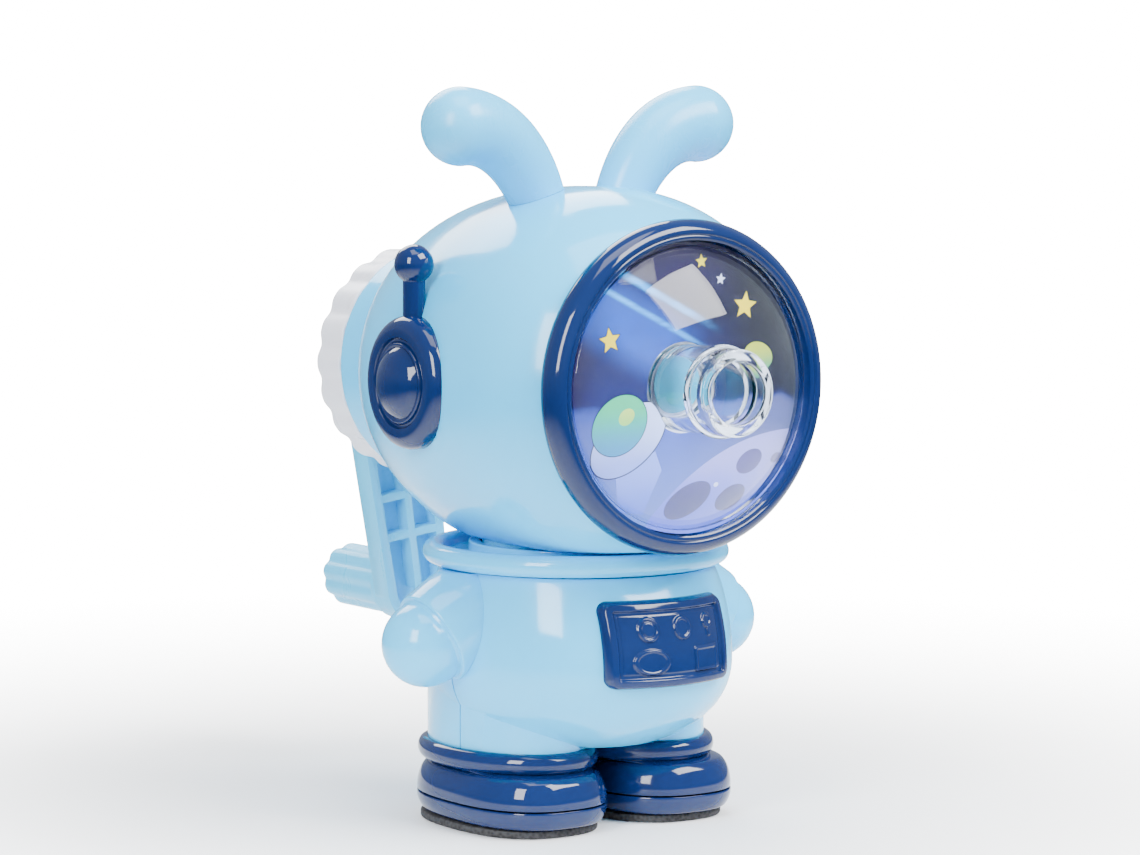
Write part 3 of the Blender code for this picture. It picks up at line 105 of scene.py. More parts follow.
class Nodes:
    """A short way to write a material's nodes. Patterns read Object coordinates, in metres."""

    def __init__(self, name):
        self.material = bpy.data.materials.new(name)
        self.material.use_nodes = True
        self.tree = self.material.node_tree
        self.shader = self.tree.nodes["Principled BSDF"]
        self.output = self.tree.nodes["Material Output"]
        self.place = self.add("ShaderNodeTexCoord").outputs["Object"]

    def add(self, kind, **settings):
        node = self.tree.nodes.new(kind)
        for key, value in settings.items():
            setattr(node, key, value)
        return node

    def join(self, source, target):
        self.tree.links.new(source, target)
        return target

    def fill(self, socket, value):
        if isinstance(value, bpy.types.NodeSocket):
            self.tree.links.new(value, socket)
        else:
            socket.default_value = value

    def mapped(self, scale=(1.0, 1.0, 1.0), rotation=(0.0, 0.0, 0.0), location=(0.0, 0.0, 0.0)):
        node = self.add("ShaderNodeMapping")
        self.join(self.place, node.inputs["Vector"])
        node.inputs["Scale"].default_value = scale
        node.inputs["Rotation"].default_value = rotation
        node.inputs["Location"].default_value = location
        return node.outputs["Vector"]

    def noise(self, scale, detail=3.0, roughness=0.5, vector=None, distortion=0.0):
        node = self.add("ShaderNodeTexNoise")
        self.fill(node.inputs["Vector"], vector or self.place)
        node.inputs["Scale"].default_value = scale
        node.inputs["Detail"].default_value = detail
        node.inputs["Roughness"].default_value = roughness
        node.inputs["Distortion"].default_value = distortion
        return node.outputs["Fac"]

    def cells(self, scale, vector=None, feature="F1", output="Distance"):
        node = self.add("ShaderNodeTexVoronoi", feature=feature)
        self.fill(node.inputs["Vector"], vector or self.place)
        node.inputs["Scale"].default_value = scale
        return node.outputs[output]

    def ramp(self, factor, stops, smooth=False):
        node = self.add("ShaderNodeValToRGB")
        self.join(factor, node.inputs["Fac"])
        if smooth:
            node.color_ramp.interpolation = "EASE"
        elements = node.color_ramp.elements
        while len(elements) < len(stops):
            elements.new(1.0)
        for element, (position, colour) in zip(elements, stops):
            element.position = position
            element.color = colour
        return node.outputs["Color"]

    def spread(self, factor, low, high, start=0.0, end=1.0, smooth=False):
        node = self.add("ShaderNodeMapRange")
        if smooth:
            node.interpolation_type = "SMOOTHSTEP"
        self.join(factor, node.inputs["Value"])
        for name, value in (("From Min", start), ("From Max", end), ("To Min", low), ("To Max", high)):
            node.inputs[name].default_value = value
        return node.outputs["Result"]

    def mix(self, factor, first, second, blend="MIX"):
        node = self.add("ShaderNodeMix", data_type="RGBA", blend_type=blend)
        self.fill(node.inputs[0], factor)
        self.fill(node.inputs[6], first)
        self.fill(node.inputs[7], second)
        return node.outputs[2]

    def maths(self, operation, first, second=0.0, third=None):
        node = self.add("ShaderNodeMath", operation=operation)
        self.fill(node.inputs[0], first)
        self.fill(node.inputs[1], second)
        if third is not None:
            self.fill(node.inputs[2], third)
        return node.outputs[0]

    def colour(self, value):
        self.fill(self.shader.inputs["Base Color"], value)

    def rough(self, value):
        self.fill(self.shader.inputs["Roughness"], value)

    def bump(self, height, distance, strength=1.0, below=None):
        node = self.add("ShaderNodeBump")
        node.inputs["Strength"].default_value = strength
        node.inputs["Distance"].default_value = distance
        self.join(height, node.inputs["Height"])
        if below is not None:
            self.join(below, node.inputs["Normal"])
        self.join(node.outputs["Normal"], self.shader.inputs["Normal"])
        return node.outputs["Normal"]

    def fixed(self, **values):
        """Numbers that are the same all over the surface, on the shader's own sockets."""
        for key, value in values.items():
            self.shader.inputs[key.replace("_", " ")].default_value = value


def moulded_plastic(name, colour, shade, low_rough, high_rough, skin=0.000012, glow=0.0, coat=0.0):
    """Injection-moulded plastic: faint clouds of colour, handled patches, and an orange-peel skin."""
    nodes = Nodes(name)
    clouds = nodes.noise(38.0, 4.0, 0.55)
    flow = nodes.noise(14.0, 2.0, 0.5, nodes.mapped((1.0, 0.4, 2.2)), 0.6)
    tint = nodes.mix(nodes.spread(clouds, 0.0, 1.0, 0.35, 0.65), colour, shade)
    nodes.colour(nodes.mix(nodes.spread(flow, 0.0, 0.35, 0.4, 0.7), tint, shade))
    smudges = nodes.noise(95.0, 5.0, 0.62, nodes.mapped((1.0, 1.0, 0.5)), 0.9)
    nodes.rough(nodes.spread(smudges, low_rough, high_rough, 0.38, 0.68))
    peel = nodes.noise(900.0, 2.0, 0.4)
    grain = nodes.noise(5200.0, 2.0, 0.6)
    nodes.bump(grain, skin * 0.25, 0.5, nodes.bump(peel, skin, 0.6))
    nodes.fixed(IOR=1.45, Coat_Weight=coat, Coat_Roughness=0.04)
    if glow > 0.0:
        nodes.fixed(Subsurface_Weight=glow, Subsurface_Radius=(0.6, 0.8, 1.0), Subsurface_Scale=0.004)
    return nodes.material


def turned_metal(name, colour, shade, roughness, scale):
    """Metal with fine tool marks and a little stain."""
    nodes = Nodes(name)
    nodes.fixed(Metallic=1.0, Anisotropic=0.4)
    stain = nodes.noise(120.0, 4.0, 0.6)
    nodes.colour(nodes.mix(nodes.spread(stain, 0.0, 1.0, 0.4, 0.7), colour, shade))
    lines = nodes.noise(1.0, 3.0, 0.6, nodes.mapped((scale * 0.1, scale, scale * 0.1)))
    nodes.rough(nodes.spread(lines, roughness * 0.7, roughness * 1.5, 0.3, 0.7))
    nodes.bump(lines, 0.00001, 0.5)
    return nodes.material


SHELL = moulded_plastic("sky_blue_plastic", (0.045, 0.56, 0.98, 1.0), (0.035, 0.53, 0.96, 1.0), 0.10, 0.22,
                        glow=0.08, coat=0.2)
EAR = moulded_plastic("ear_blue_plastic", (0.055, 0.56, 0.97, 1.0), (0.045, 0.53, 0.95, 1.0), 0.22, 0.36,
                      glow=0.1)
ICE = moulded_plastic("ice_blue_plastic", (0.07, 0.56, 0.88, 1.0), (0.055, 0.52, 0.85, 1.0), 0.26, 0.42,
                      0.00002, glow=0.1)
WHITE = moulded_plastic("white_plastic", (0.84, 0.84, 0.90, 1.0), (0.79, 0.80, 0.88, 1.0), 0.26, 0.42,
                        0.00002, glow=0.06)
NAVY = moulded_plastic("navy_gloss_plastic", (0.004, 0.017, 0.085, 1.0), (0.003, 0.013, 0.070, 1.0), 0.03,
                       0.10,
                       0.000008)
STEEL = turned_metal("machined_steel", (0.56, 0.57, 0.59, 1.0), (0.42, 0.43, 0.45, 1.0), 0.28, 3000.0)
BRASS = turned_metal("turned_brass", (0.78, 0.57, 0.24, 1.0), (0.62, 0.42, 0.16, 1.0), 0.26, 3000.0)


def make_clear():
    """Clear styrene. Lamps pass through it to what lies behind."""
    nodes = Nodes("clear_styrene")
    nodes.colour((0.93, 0.97, 1.0, 1.0))
    nodes.fixed(Transmission_Weight=1.0, IOR=1.34)
    haze = nodes.noise(160.0, 4.0, 0.6)
    nodes.rough(nodes.spread(haze, 0.0, 0.03, 0.45, 0.75))
    waves = nodes.noise(55.0, 1.0, 0.3)
    nodes.bump(waves, 0.00003, 0.4)
    clear = nodes.add("ShaderNodeBsdfTransparent")
    clear.inputs["Color"].default_value = (0.94, 0.97, 1.0, 1.0)
    path = nodes.add("ShaderNodeLightPath")
    both = nodes.add("ShaderNodeMixShader")
    nodes.join(path.outputs["Is Shadow Ray"], both.inputs[0])
    nodes.join(nodes.shader.outputs["BSDF"], both.inputs[1])
    nodes.join(clear.outputs["BSDF"], both.inputs[2])
    nodes.join(both.outputs["Shader"], nodes.output.inputs["Surface"])
    return nodes.material


CLEAR = make_clear()


def make_foam():
    nodes = Nodes("black_foam")
    bubbles = nodes.cells(1500.0)
    wide = nodes.noise(300.0, 3.0, 0.6)
    nodes.colour(nodes.mix(nodes.spread(bubbles, 0.0, 1.0, 0.1, 0.7), (0.012, 0.012, 0.013, 1.0),
                           (0.045, 0.045, 0.048, 1.0)))
    nodes.rough(nodes.spread(wide, 0.75, 0.95, 0.3, 0.7))
    nodes.bump(bubbles, 0.00012, 0.7, nodes.bump(wide, 0.0001, 0.4))
    return nodes.material


FOAM = make_foam()


def make_night_sky():
    """Printed night sky: indigo above, a bright slanting cloud of gas, and a pale violet lower half; the
    dark reddish purple at the far left of the upper half is a painted reflection.
    """
    nodes = Nodes("night_sky_print")
    parts = nodes.add("ShaderNodeSeparateXYZ")
    nodes.join(nodes.mapped(location=(0.0, 0.0, -AXIS_HEIGHT * MM)), parts.inputs[0])
    across, up = parts.outputs["X"], parts.outputs["Z"]
    wander = nodes.noise(70.0, 4.0, 0.55)
    bent = nodes.maths("MULTIPLY_ADD", nodes.maths("SUBTRACT", wander, 0.5), 0.008, up)
    deep = nodes.ramp(nodes.spread(bent, 0.0, 1.0, -0.024, 0.024),
                      [(0.0, linear(80, 108, 190)), (0.30, linear(58, 82, 170)),
                       (0.43, linear(48, 66, 152)), (0.46, linear(12, 20, 84)),
                       (0.75, linear(9, 6, 48)), (1.0, linear(26, 10, 60))])
    lower_right = nodes.maths("MULTIPLY", nodes.spread(across, 0.0, 0.75, -0.004, 0.02, smooth=True),
                              nodes.spread(bent, 1.0, 0.0, -0.003, -0.002))
    deep = nodes.mix(lower_right, deep, linear(84, 88, 132))
    right = nodes.spread(across, 0.0, 0.9, 0.001, 0.016, smooth=True)
    upper = nodes.spread(bent, 0.0, 1.0, -0.0026, -0.0014, smooth=True)
    sky = nodes.mix(nodes.maths("MULTIPLY", right, upper), deep, linear(6, 5, 18))
    # Far left of the upper half: dark reddish purple laid over the print, a painted reflection.
    left = nodes.spread(across, 0.6, 0.0, -0.024, -0.015, smooth=True)
    sky = nodes.mix(nodes.maths("MULTIPLY", left, upper), sky, linear(30, 10, 38))
    lean = 0.5
    slant = nodes.maths("MULTIPLY_ADD", across, lean, up)
    along = nodes.maths("MULTIPLY_ADD", up, -lean, across)
    streak = nodes.noise(1.0, 5.0, 0.62, nodes.mapped((70.0, 70.0, 620.0), (0.0, math.radians(-27.0), 0.0)),
                         0.4)
    cloud = nodes.spread(nodes.maths("ABSOLUTE", nodes.maths("SUBTRACT", slant, 0.0052)), 1.0, 0.0, 0.002,
                         0.0095,
                         smooth=True)
    fade = nodes.spread(along, 1.0, 0.0, -0.010, 0.004, smooth=True)
    glow = nodes.maths("MULTIPLY", nodes.maths("MULTIPLY", cloud, fade),
                       nodes.spread(wander, 0.35, 0.9, 0.3, 0.7))
    sky = nodes.mix(nodes.maths("MULTIPLY", glow, upper), sky, linear(10, 74, 178))
    for middle, half in ((0.0128, 0.0011), (0.0086, 0.0009)):
        beam = nodes.spread(nodes.maths("ABSOLUTE", nodes.maths("SUBTRACT", slant, middle)), 1.0, 0.0, 0.0,
                            half,
                            smooth=True)
        shine = nodes.maths("MULTIPLY", nodes.maths("MULTIPLY", beam, fade),
                            nodes.spread(streak, 0.2, 1.0, 0.3, 0.6))
        sky = nodes.mix(shine, sky, linear(44, 164, 248))
    dots = nodes.cells(520.0)
    chance = nodes.cells(520.0, output="Color")
    chosen = nodes.maths("GREATER_THAN", chance, 0.62)
    tiny = nodes.maths("MULTIPLY", nodes.spread(dots, 1.0, 0.0, 0.05, 0.11), chosen)
    nodes.colour(nodes.mix(nodes.maths("MULTIPLY", tiny, 0.85), sky, linear(150, 190, 255)))
    nodes.rough(nodes.spread(nodes.noise(800.0, 2.0), 0.36, 0.5, 0.3, 0.7))
    nodes.bump(nodes.noise(2600.0, 2.0), 0.00001, 0.3)
    return nodes.material


SKY = make_night_sky()


def printed_ink(name, low, high, start, end, vertical=True, spread=0.0):
    """Flat printed colour that shades from one tone to another across the card."""
    nodes = Nodes(name)
    parts = nodes.add("ShaderNodeSeparateXYZ")
    nodes.join(nodes.mapped(location=(0.0, 0.0, -AXIS_HEIGHT * MM)), parts.inputs[0])
    grain = nodes.noise(500.0, 3.0, 0.6)
    source = parts.outputs["Z"] if vertical else parts.outputs["X"]
    wavy = nodes.maths("MULTIPLY_ADD", nodes.maths("SUBTRACT", grain, 0.5), 0.0008 + spread, source)
    nodes.colour(nodes.mix(nodes.spread(wavy, 0.0, 1.0, start * MM, end * MM, smooth=True), low, high))
    nodes.rough(nodes.spread(grain, 0.34, 0.48, 0.3, 0.7))
    return nodes.material


STAR_YELLOW = printed_ink("yellow_ink", linear(222, 190, 14), linear(236, 214, 40), 6.0, 22.0)
# White for the small printed star, and for the painted highlight on the moon.
STAR_WHITE_AND_PAINTED_HIGHLIGHT = printed_ink("white_ink", linear(190, 196, 236), linear(214, 218, 246), 10.0, 22.0)
OUTLINE_INK = printed_ink("dark_ink", linear(10, 10, 34), linear(16, 14, 46), -20.0, 20.0)
GLASS_INK = printed_ink("green_glass_ink", linear(12, 118, 170), linear(36, 166, 118), -10.5, -2.0)
GLOW_INK = printed_ink("pale_glow_ink", linear(128, 186, 96), linear(176, 200, 96), -6.0, -2.5)
RIM_INK = printed_ink("pale_rim_ink", linear(112, 132, 216), linear(176, 188, 236), -14.0, -4.0,
                      spread=0.001)
BEAM_INK = printed_ink("beam_ink", linear(70, 98, 204), linear(112, 134, 222), -20.0, -12.0)
TEAL_INK = printed_ink("teal_ink", linear(2, 92, 112), linear(30, 146, 178), -2.5, 2.0, vertical=False)
LIME_INK = printed_ink("lime_ink", linear(60, 146, 104), linear(170, 178, 56), 2.0, 6.5)
HILL_INK = printed_ink("hill_ink", linear(82, 96, 206), linear(140, 138, 214), -20.0, -10.0, spread=0.002)
CRATER_INK = printed_ink("crater_ink", linear(52, 54, 112), linear(66, 62, 128), -20.0, -12.0)


# ---------------------------------------------------------------- mesh helpers
def mesh_object(name, points, faces, sharp=38.0):
    mesh = bpy.data.meshes.new(name)
    mesh.from_pydata([tuple(point) for point in points], [], faces)
    return mesh_piece(name, mesh, sharp)


def mesh_piece(name, mesh, sharp=38.0):
    bm = bmesh.new()
    bm.from_mesh(mesh)
    bmesh.ops.recalc_face_normals(bm, faces=bm.faces)
    bm.to_mesh(mesh)
    bm.free()
    mesh.shade_smooth()
    mesh.set_sharp_from_angle(angle=math.radians(sharp))
    piece = bpy.data.objects.new(name, mesh)
    bpy.context.scene.collection.objects.link(piece)
    return piece


def moved(piece, matrix):
    piece.data.transform(matrix)
    return piece


def settled(piece):
    """Puts a piece's modifiers into its mesh."""
    bpy.context.view_layer.update()
    seen = piece.evaluated_get(bpy.context.evaluated_depsgraph_get())
    mesh = bpy.data.meshes.new_from_object(seen)
    piece.modifiers.clear()
    piece.data = mesh
    return piece


def combine(piece, operation, *tools):
    for tool in tools:
        modifier = piece.modifiers.new("shape", "BOOLEAN")
        modifier.operation = operation
        modifier.solver = "EXACT"
        modifier.object = tool
    settled(piece)
    for tool in tools:
        bpy.data.objects.remove(tool, do_unlink=True)
    return piece


def cut(piece, *tools):
    return combine(piece, "DIFFERENCE", *tools)


def joined(piece, *tools):
    return combine(piece, "UNION", *tools)


def copy_of(piece, name):
    twin = bpy.data.objects.new(name, piece.data.copy())
    bpy.context.scene.collection.objects.link(twin)
    return twin


def cleaned(piece, name, sharp=30.0):
    """A fresh piece with the same shape, its normals and its sharp edges set anew."""
    clean = mesh_piece(name, piece.data.copy(), sharp)
    bpy.data.objects.remove(piece, do_unlink=True)
    return clean


def softened(piece, width, segments=2, angle=38.0):
    """Rounds the piece's crisp edges a little, as a mould does."""
    bm = bmesh.new()
    bm.from_mesh(piece.data)
    bmesh.ops.remove_doubles(bm, verts=bm.verts, dist=0.0005)
    bmesh.ops.dissolve_limit(bm, angle_limit=math.radians(0.4), verts=bm.verts, edges=bm.edges)
    bm.to_mesh(piece.data)
    bm.free()
    bevel = piece.modifiers.new("soft_edges", "BEVEL")
    bevel.width = width
    bevel.segments = segments
    bevel.limit_method = "ANGLE"
    bevel.angle_limit = math.radians(angle)
    bevel.harden_normals = True
    bevel.use_clamp_overlap = True
    return settled(piece)


def finished(piece, looks, body, node, place=MAIN):
    """Gives a piece its materials and its place, and hands it to the frame."""
    looks = looks if isinstance(looks, (list, tuple)) else [looks]
    if len(looks) == 1:
        piece.data.materials.clear()
        piece.data.polygons.foreach_set("material_index", [0] * len(piece.data.polygons))
    for look in looks[len(piece.data.materials):]:
        piece.data.materials.append(look)
    moved(piece, place)
    if place.determinant() < 0.0:
        piece.data.flip_normals()
    piece.data.update()
    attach(piece, body)
    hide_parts(node)
    return piece


# ---------------------------------------------------------------- shape helpers
def arc(centre, radii, start, end, count):
    points = []
    for index in range(count + 1):
        angle = math.radians(start + (end - start) * index / count)
        points.append((centre[0] + radii[0] * math.cos(angle), centre[1] + radii[1] * math.sin(angle)))
    return points


def rounded(corners, radius=0.3, closed=True, count=4):
    """A profile with its corners rounded. A corner may carry its own radius as a third number."""
    points = []
    total = len(corners)
    for index, corner in enumerate(corners):
        here = Vector(corner[:2])
        size = corner[2] if len(corner) > 2 else radius
        if size <= 0.0 or (not closed and index in (0, total - 1)):
            points.append(tuple(here))
            continue
        before = Vector(corners[index - 1][:2]) - here
        after = Vector(corners[(index + 1) % total][:2]) - here
        half = before.angle(after) / 2.0
        reach = min(size / math.tan(half), 0.46 * before.length, 0.46 * after.length)
        if reach < 0.004:
            points.append(tuple(here))
            continue
        start, end = here + before.normalized() * reach, here + after.normalized() * reach
        guard = 0.06 * reach
        points.append(tuple(start + before.normalized() * guard))
        for step in range(count + 1):
            share = step / count
            points.append(tuple(start * (1.0 - share) ** 2 + here * 2.0 * share * (1.0 - share)
                                + end * share ** 2))
        points.append(tuple(end + after.normalized() * guard))
    return points


def lathe(name, profile, steps=STEPS):
    """(radius, height) points turned about local Z. A profile that starts on the axis is not closed."""
    tiny = 1e-6
    closed = profile[0][0] > tiny
    points, rings, faces = [], [], []
    for radius, height in profile:
        if radius <= tiny:
            rings.append([len(points)] * steps)
            points.append((0.0, 0.0, height))
            continue
        rings.append(list(range(len(points), len(points) + steps)))
        for step in range(steps):
            angle = 2.0 * math.pi * step / steps
            points.append((radius * math.cos(angle), radius * math.sin(angle), height))
    pairs = list(zip(rings, rings[1:]))
    if closed:
        pairs.append((rings[-1], rings[0]))
    for near, far in pairs:
        for step in range(steps):
            after = (step + 1) % steps
            corners = [near[step], near[after], far[after], far[step]]
            face = [corner for index, corner in enumerate(corners) if corner not in corners[:index]]
            if len(face) > 2:
                faces.append(face)
    return mesh_object(name, points, faces)


def drum(name, radius, low, high, steps=STEPS_SMALL, far_radius=None):
    far = radius if far_radius is None else far_radius
    return lathe(name, [(0.0, low), (radius, low), (far, high), (0.0, high)], steps)


def block(name, low, high):
    points = [(x, y, z) for z in (low[2], high[2]) for y in (low[1], high[1]) for x in (low[0], high[0])]
    faces = [(0, 1, 3, 2), (4, 5, 7, 6), (0, 1, 5, 4), (2, 3, 7, 6), (0, 2, 6, 4), (1, 3, 7, 5)]
    return mesh_object(name, points, faces)


def loft(name, sections, sharp=38.0):
    """A closed solid through rings of equally many points, its two ends closed by fans."""
    count = len(sections[0])
    points = [point for section in sections for point in section]
    faces = []
    for row in range(len(sections) - 1):
        for index in range(count):
            after = (index + 1) % count
            faces.append((row * count + index, row * count + after,
                          (row + 1) * count + after, (row + 1) * count + index))
    for row in (0, len(sections) - 1):
        middle = sum((Vector(point) for point in sections[row]), Vector()) / count
        points.append(middle)
        for index in range(count):
            faces.append((row * count + index, row * count + (index + 1) % count, len(points) - 1))
    return mesh_object(name, points, faces, sharp)


def prism(name, outline, low, high):
    return loft(name, [[(x, y, z) for x, y in outline] for z in (low, high)])


def annulus(name, outer_low, outer_high, inner_low, inner_high):
    """A ring between two outlines of equally many points, at two heights each."""
    loops = [outer_low, outer_high, inner_high, inner_low]
    count = len(outer_low)
    points = [point for loop in loops for point in loop]
    faces = []
    for row in range(4):
        for index in range(count):
            after = (index + 1) % count
            below = ((row + 1) % 4) * count
            faces.append((row * count + index, row * count + after, below + after, below + index))
    return mesh_object(name, points, faces, 25.0)


def superellipse(half_x, half_y, power, count):
    points = []
    for index in range(count):
        angle = 2.0 * math.pi * index / count
        x, y = math.cos(angle), math.sin(angle)
        points.append((half_x * math.copysign(abs(x) ** (2.0 / power), x),
                       half_y * math.copysign(abs(y) ** (2.0 / power), y)))
    return points


def capsule(near, far, length, shrink, count):
    """Two round ends joined by tangents; the near end is at the origin, the far one at +Y."""
    near, far = near - shrink, far - shrink
    lean = math.degrees(math.asin((near - far) / length))
    points = arc((0.0, length), (far, far), lean, 180.0 - lean, count)
    return points + arc((0.0, 0.0), (near, near), 180.0 - lean, 360.0 + lean, count)


# ---------------------------------------------------------------- geometry node trees
def new_tree(name, inputs):
    tree = bpy.data.node_groups.new(name, "GeometryNodeTree")
    tree.interface.new_socket("Geometry", in_out="INPUT", socket_type="NodeSocketGeometry")
    for label, kind, value in inputs:
        socket = tree.interface.new_socket(label, in_out="INPUT", socket_type="NodeSocket" + kind)
        if value is not None:
            socket.default_value = value
    tree.interface.new_socket("Geometry", in_out="OUTPUT", socket_type="NodeSocketGeometry")
    return tree, tree.nodes.new("NodeGroupInput"), tree.nodes.new("NodeGroupOutput")


def tree_node(tree, kind, links, **settings):
    """Adds a node; links gives what feeds each of its inputs, by number or by name."""
    node = tree.nodes.new(kind)
    for key, value in settings.items():
        setattr(node, key, value)
    for key, value in links.items():
        if isinstance(value, bpy.types.NodeSocket):
            tree.links.new(value, node.inputs[key])
        else:
            node.inputs[key].default_value = value
    return node


def tree_maths(tree, operation, first, second=0.0):
    return tree_node(tree, "ShaderNodeMath", {0: first, 1: second}, operation=operation).outputs[0]


def end_tree(tree, shaped, inputs, result):
    real = tree_node(tree, "GeometryNodeRealizeInstances", {"Geometry": shaped.outputs[0]})
    coloured = tree_node(tree, "GeometryNodeSetMaterial",
                         {"Geometry": real.outputs[0], "Material": inputs["Material"]})
    tree.links.new(coloured.outputs[0], result.inputs[0])
    return tree


def make_fluting_tree():
    """Presses flutes into a turned piece: points move towards the local Z axis by a wave of their angle."""
    tree, given, result = new_tree("flutes", [
        ("Lobes", "Float", 9.0), ("Depth", "Float", 0.5), ("Crispness", "Float", 1.0),
        ("Twist", "Float", 0.0), ("Low", "Float", 0.0), ("High", "Float", 10.0), ("Fade", "Float", 1.0),
        ("Inside Radius", "Float", 1.0),
        ("Material", "Material", None)])
    inputs = given.outputs
    place = tree_node(tree, "GeometryNodeInputPosition", {}).outputs[0]
    axes = tree_node(tree, "ShaderNodeSeparateXYZ", {0: place}).outputs
    angle = tree_maths(tree, "ARCTAN2", axes[1], axes[0])
    spiral = tree_maths(tree, "ADD", angle, tree_maths(tree, "MULTIPLY", inputs["Twist"], axes[2]))
    wave = tree_maths(tree, "COSINE", tree_maths(tree, "MULTIPLY", spiral, inputs["Lobes"]))
    hollow = tree_maths(tree, "SUBTRACT", 0.5, tree_maths(tree, "MULTIPLY", wave, 0.5))
    hollow = tree_maths(tree, "POWER", hollow, inputs["Crispness"])
    rise = tree_node(tree, "ShaderNodeMapRange", {
        "Value": axes[2], "From Min": inputs["Low"],
        "From Max": tree_maths(tree, "ADD", inputs["Low"], inputs["Fade"])}, interpolation_type="SMOOTHSTEP")
    fall = tree_node(tree, "ShaderNodeMapRange", {
        "Value": axes[2], "From Min": inputs["High"],
        "From Max": tree_maths(tree, "SUBTRACT", inputs["High"], inputs["Fade"])},
                     interpolation_type="SMOOTHSTEP")
    flat = tree_node(tree, "ShaderNodeCombineXYZ", {0: axes[0], 1: axes[1]}).outputs[0]
    radius = tree_node(tree, "ShaderNodeVectorMath", {0: flat}, operation="LENGTH").outputs["Value"]
    outside = tree_maths(tree, "GREATER_THAN", radius, inputs["Inside Radius"])
    amount = tree_maths(tree, "MULTIPLY", tree_maths(tree, "MULTIPLY", hollow, inputs["Depth"]), outside)
    amount = tree_maths(tree, "MULTIPLY", amount,
                        tree_maths(tree, "MULTIPLY", rise.outputs[0], fall.outputs[0]))
    share = tree_maths(tree, "DIVIDE", amount, tree_maths(tree, "MAXIMUM", radius, 0.001))
    offset = tree_node(tree, "ShaderNodeVectorMath", {
        0: flat, "Scale": tree_maths(tree, "MULTIPLY", share, -1.0)},
                       operation="SCALE").outputs[0]
    pressed = tree_node(tree, "GeometryNodeSetPosition", {"Geometry": inputs["Geometry"], "Offset": offset})
    return end_tree(tree, pressed, inputs, result)


def make_row_tree():
    """Copies of one small shape at even steps along a line."""
    tree, given, result = new_tree("row_of_ribs", [
        ("Shape", "Object", None), ("Count", "Int", 4), ("Start", "Vector", (0.0, 0.0, 0.0)),
        ("Step", "Vector", (0.0, 1.0, 0.0)), ("Material", "Material", None)])
    inputs = given.outputs
    line = tree_node(tree, "GeometryNodeMeshLine", {
        "Count": inputs["Count"], "Start Location": inputs["Start"], "Offset": inputs["Step"]})
    shape = tree_node(tree, "GeometryNodeObjectInfo", {"Object": inputs["Shape"]})
    copies = tree_node(tree, "GeometryNodeInstanceOnPoints", {
        "Points": line.outputs[0], "Instance": shape.outputs["Geometry"]})
    return end_tree(tree, copies, inputs, result)


FLUTES = make_fluting_tree()
ROW = make_row_tree()


def grown(piece, tree, **values):
    """Runs a node tree on a piece and keeps the result as a plain mesh."""
    modifier = piece.modifiers.new(tree.name, "NODES")
    modifier.node_group = tree
    for item in tree.interface.items_tree:
        key = item.name.replace(" ", "_")
        if item.in_out == "INPUT" and key in values:
            modifier[item.identifier] = values[key]
    piece.data.update()
    return settled(piece)


def copies_of(shape, name, tree, **values):
    holder = bpy.data.objects.new(name, bpy.data.meshes.new(name))
    bpy.context.scene.collection.objects.link(holder)
    grown(holder, tree, Shape=shape, **values)
    bpy.data.objects.remove(shape, do_unlink=True)
    return holder


# ---------------------------------------------------------------- head
HEAD_RADIUS = head_high.x / MM
HEAD_CENTRE = -6.5
HEAD_POWER = 2.48
HEAD_FLOOR = 48.5
SPIGOT_RADIUS = 16.2
SOCKET_WALL = 1.6


def head_radius(y, inset=0.0):
    reach = (31.7 if y < HEAD_CENTRE else 50.0) - inset
    share = min(abs(y - HEAD_CENTRE) / reach, 1.0)
    return (HEAD_RADIUS - inset) * (1.0 - share ** HEAD_POWER) ** (1.0 / HEAD_POWER)


def head_profile(inset, count, front=HEAD_FRONT, rear=HEAD_REAR):
    points = []
    for index in range(count + 1):
        share = 0.5 - 0.5 * math.cos(math.pi * index / count)
        y = front + (rear - front) * share
        points.append((head_radius(y, inset), y))
    return points


def head_solid(name, inset):
    """The head's rounded barrel as a plain solid in the body's frame, for cutting seats."""
    profile = [(0.0, HEAD_FRONT)] + head_profile(inset, 48) + [(0.0, HEAD_REAR)]
    return moved(lathe(name, profile), MAIN_LOCAL)


def build_head_shell():
    outer = head_profile(0.0, 72)
    inner = head_profile(WALL, 56)
    lip = 0.35
    front_lip = rounded([inner[1], (inner[0][0], HEAD_FRONT, lip), (outer[0][0], HEAD_FRONT, lip),
                         outer[1]],
                        closed=False)
    rear_lip = rounded([outer[-2], (outer[-1][0], HEAD_REAR, lip), (inner[-1][0], HEAD_REAR, lip),
                        inner[-2]],
                       closed=False)
    profile = front_lip[1:-1] + outer[1:-1] + rear_lip[1:-1] + inner[-2:0:-1]
    shell = lathe("head_barrel", profile)
    outer_count = len(front_lip) - 2 + len(outer) - 2 + len(rear_lip) // 2
    soft = 0.35
    for index, vertex in enumerate(shell.data.vertices):
        ring = index // STEPS
        is_outer = len(front_lip) // 2 <= ring + 1 < outer_count
        limit = AXIS_HEIGHT - HEAD_FLOOR - (0.0 if is_outer else WALL)
        over = (limit - vertex.co.y) / soft
        if over < 20.0:
            vertex.co.y = limit - soft * (math.log1p(math.exp(-abs(over))) + max(over, 0.0))
    moved(shell, MAIN_LOCAL)
    top = HEAD_FLOOR + WALL / 2.0
    low = HEAD_FLOOR - 5.3
    spigot = lathe("chute_spigot", [(0.0, low), (16.0, low), (SPIGOT_RADIUS, low + 0.2),
                                    (SPIGOT_RADIUS, top), (0.0, top)])
    chute = drum("chute", 14.7, low - 1.0, HEAD_FLOOR + 2.0 * WALL, STEPS)
    joined(shell, spigot)
    cut(shell, chute)
    finished(cleaned(shell, "head"), SHELL, "head", "head_shell", BODY)


COLLAR_SEAT = HEAD_REAR + GAP
COLLAR_BACK = COLLAR_SEAT + 7.2
COLLAR_BORE = head_radius(HEAD_REAR, WALL) - GAP - 1.2


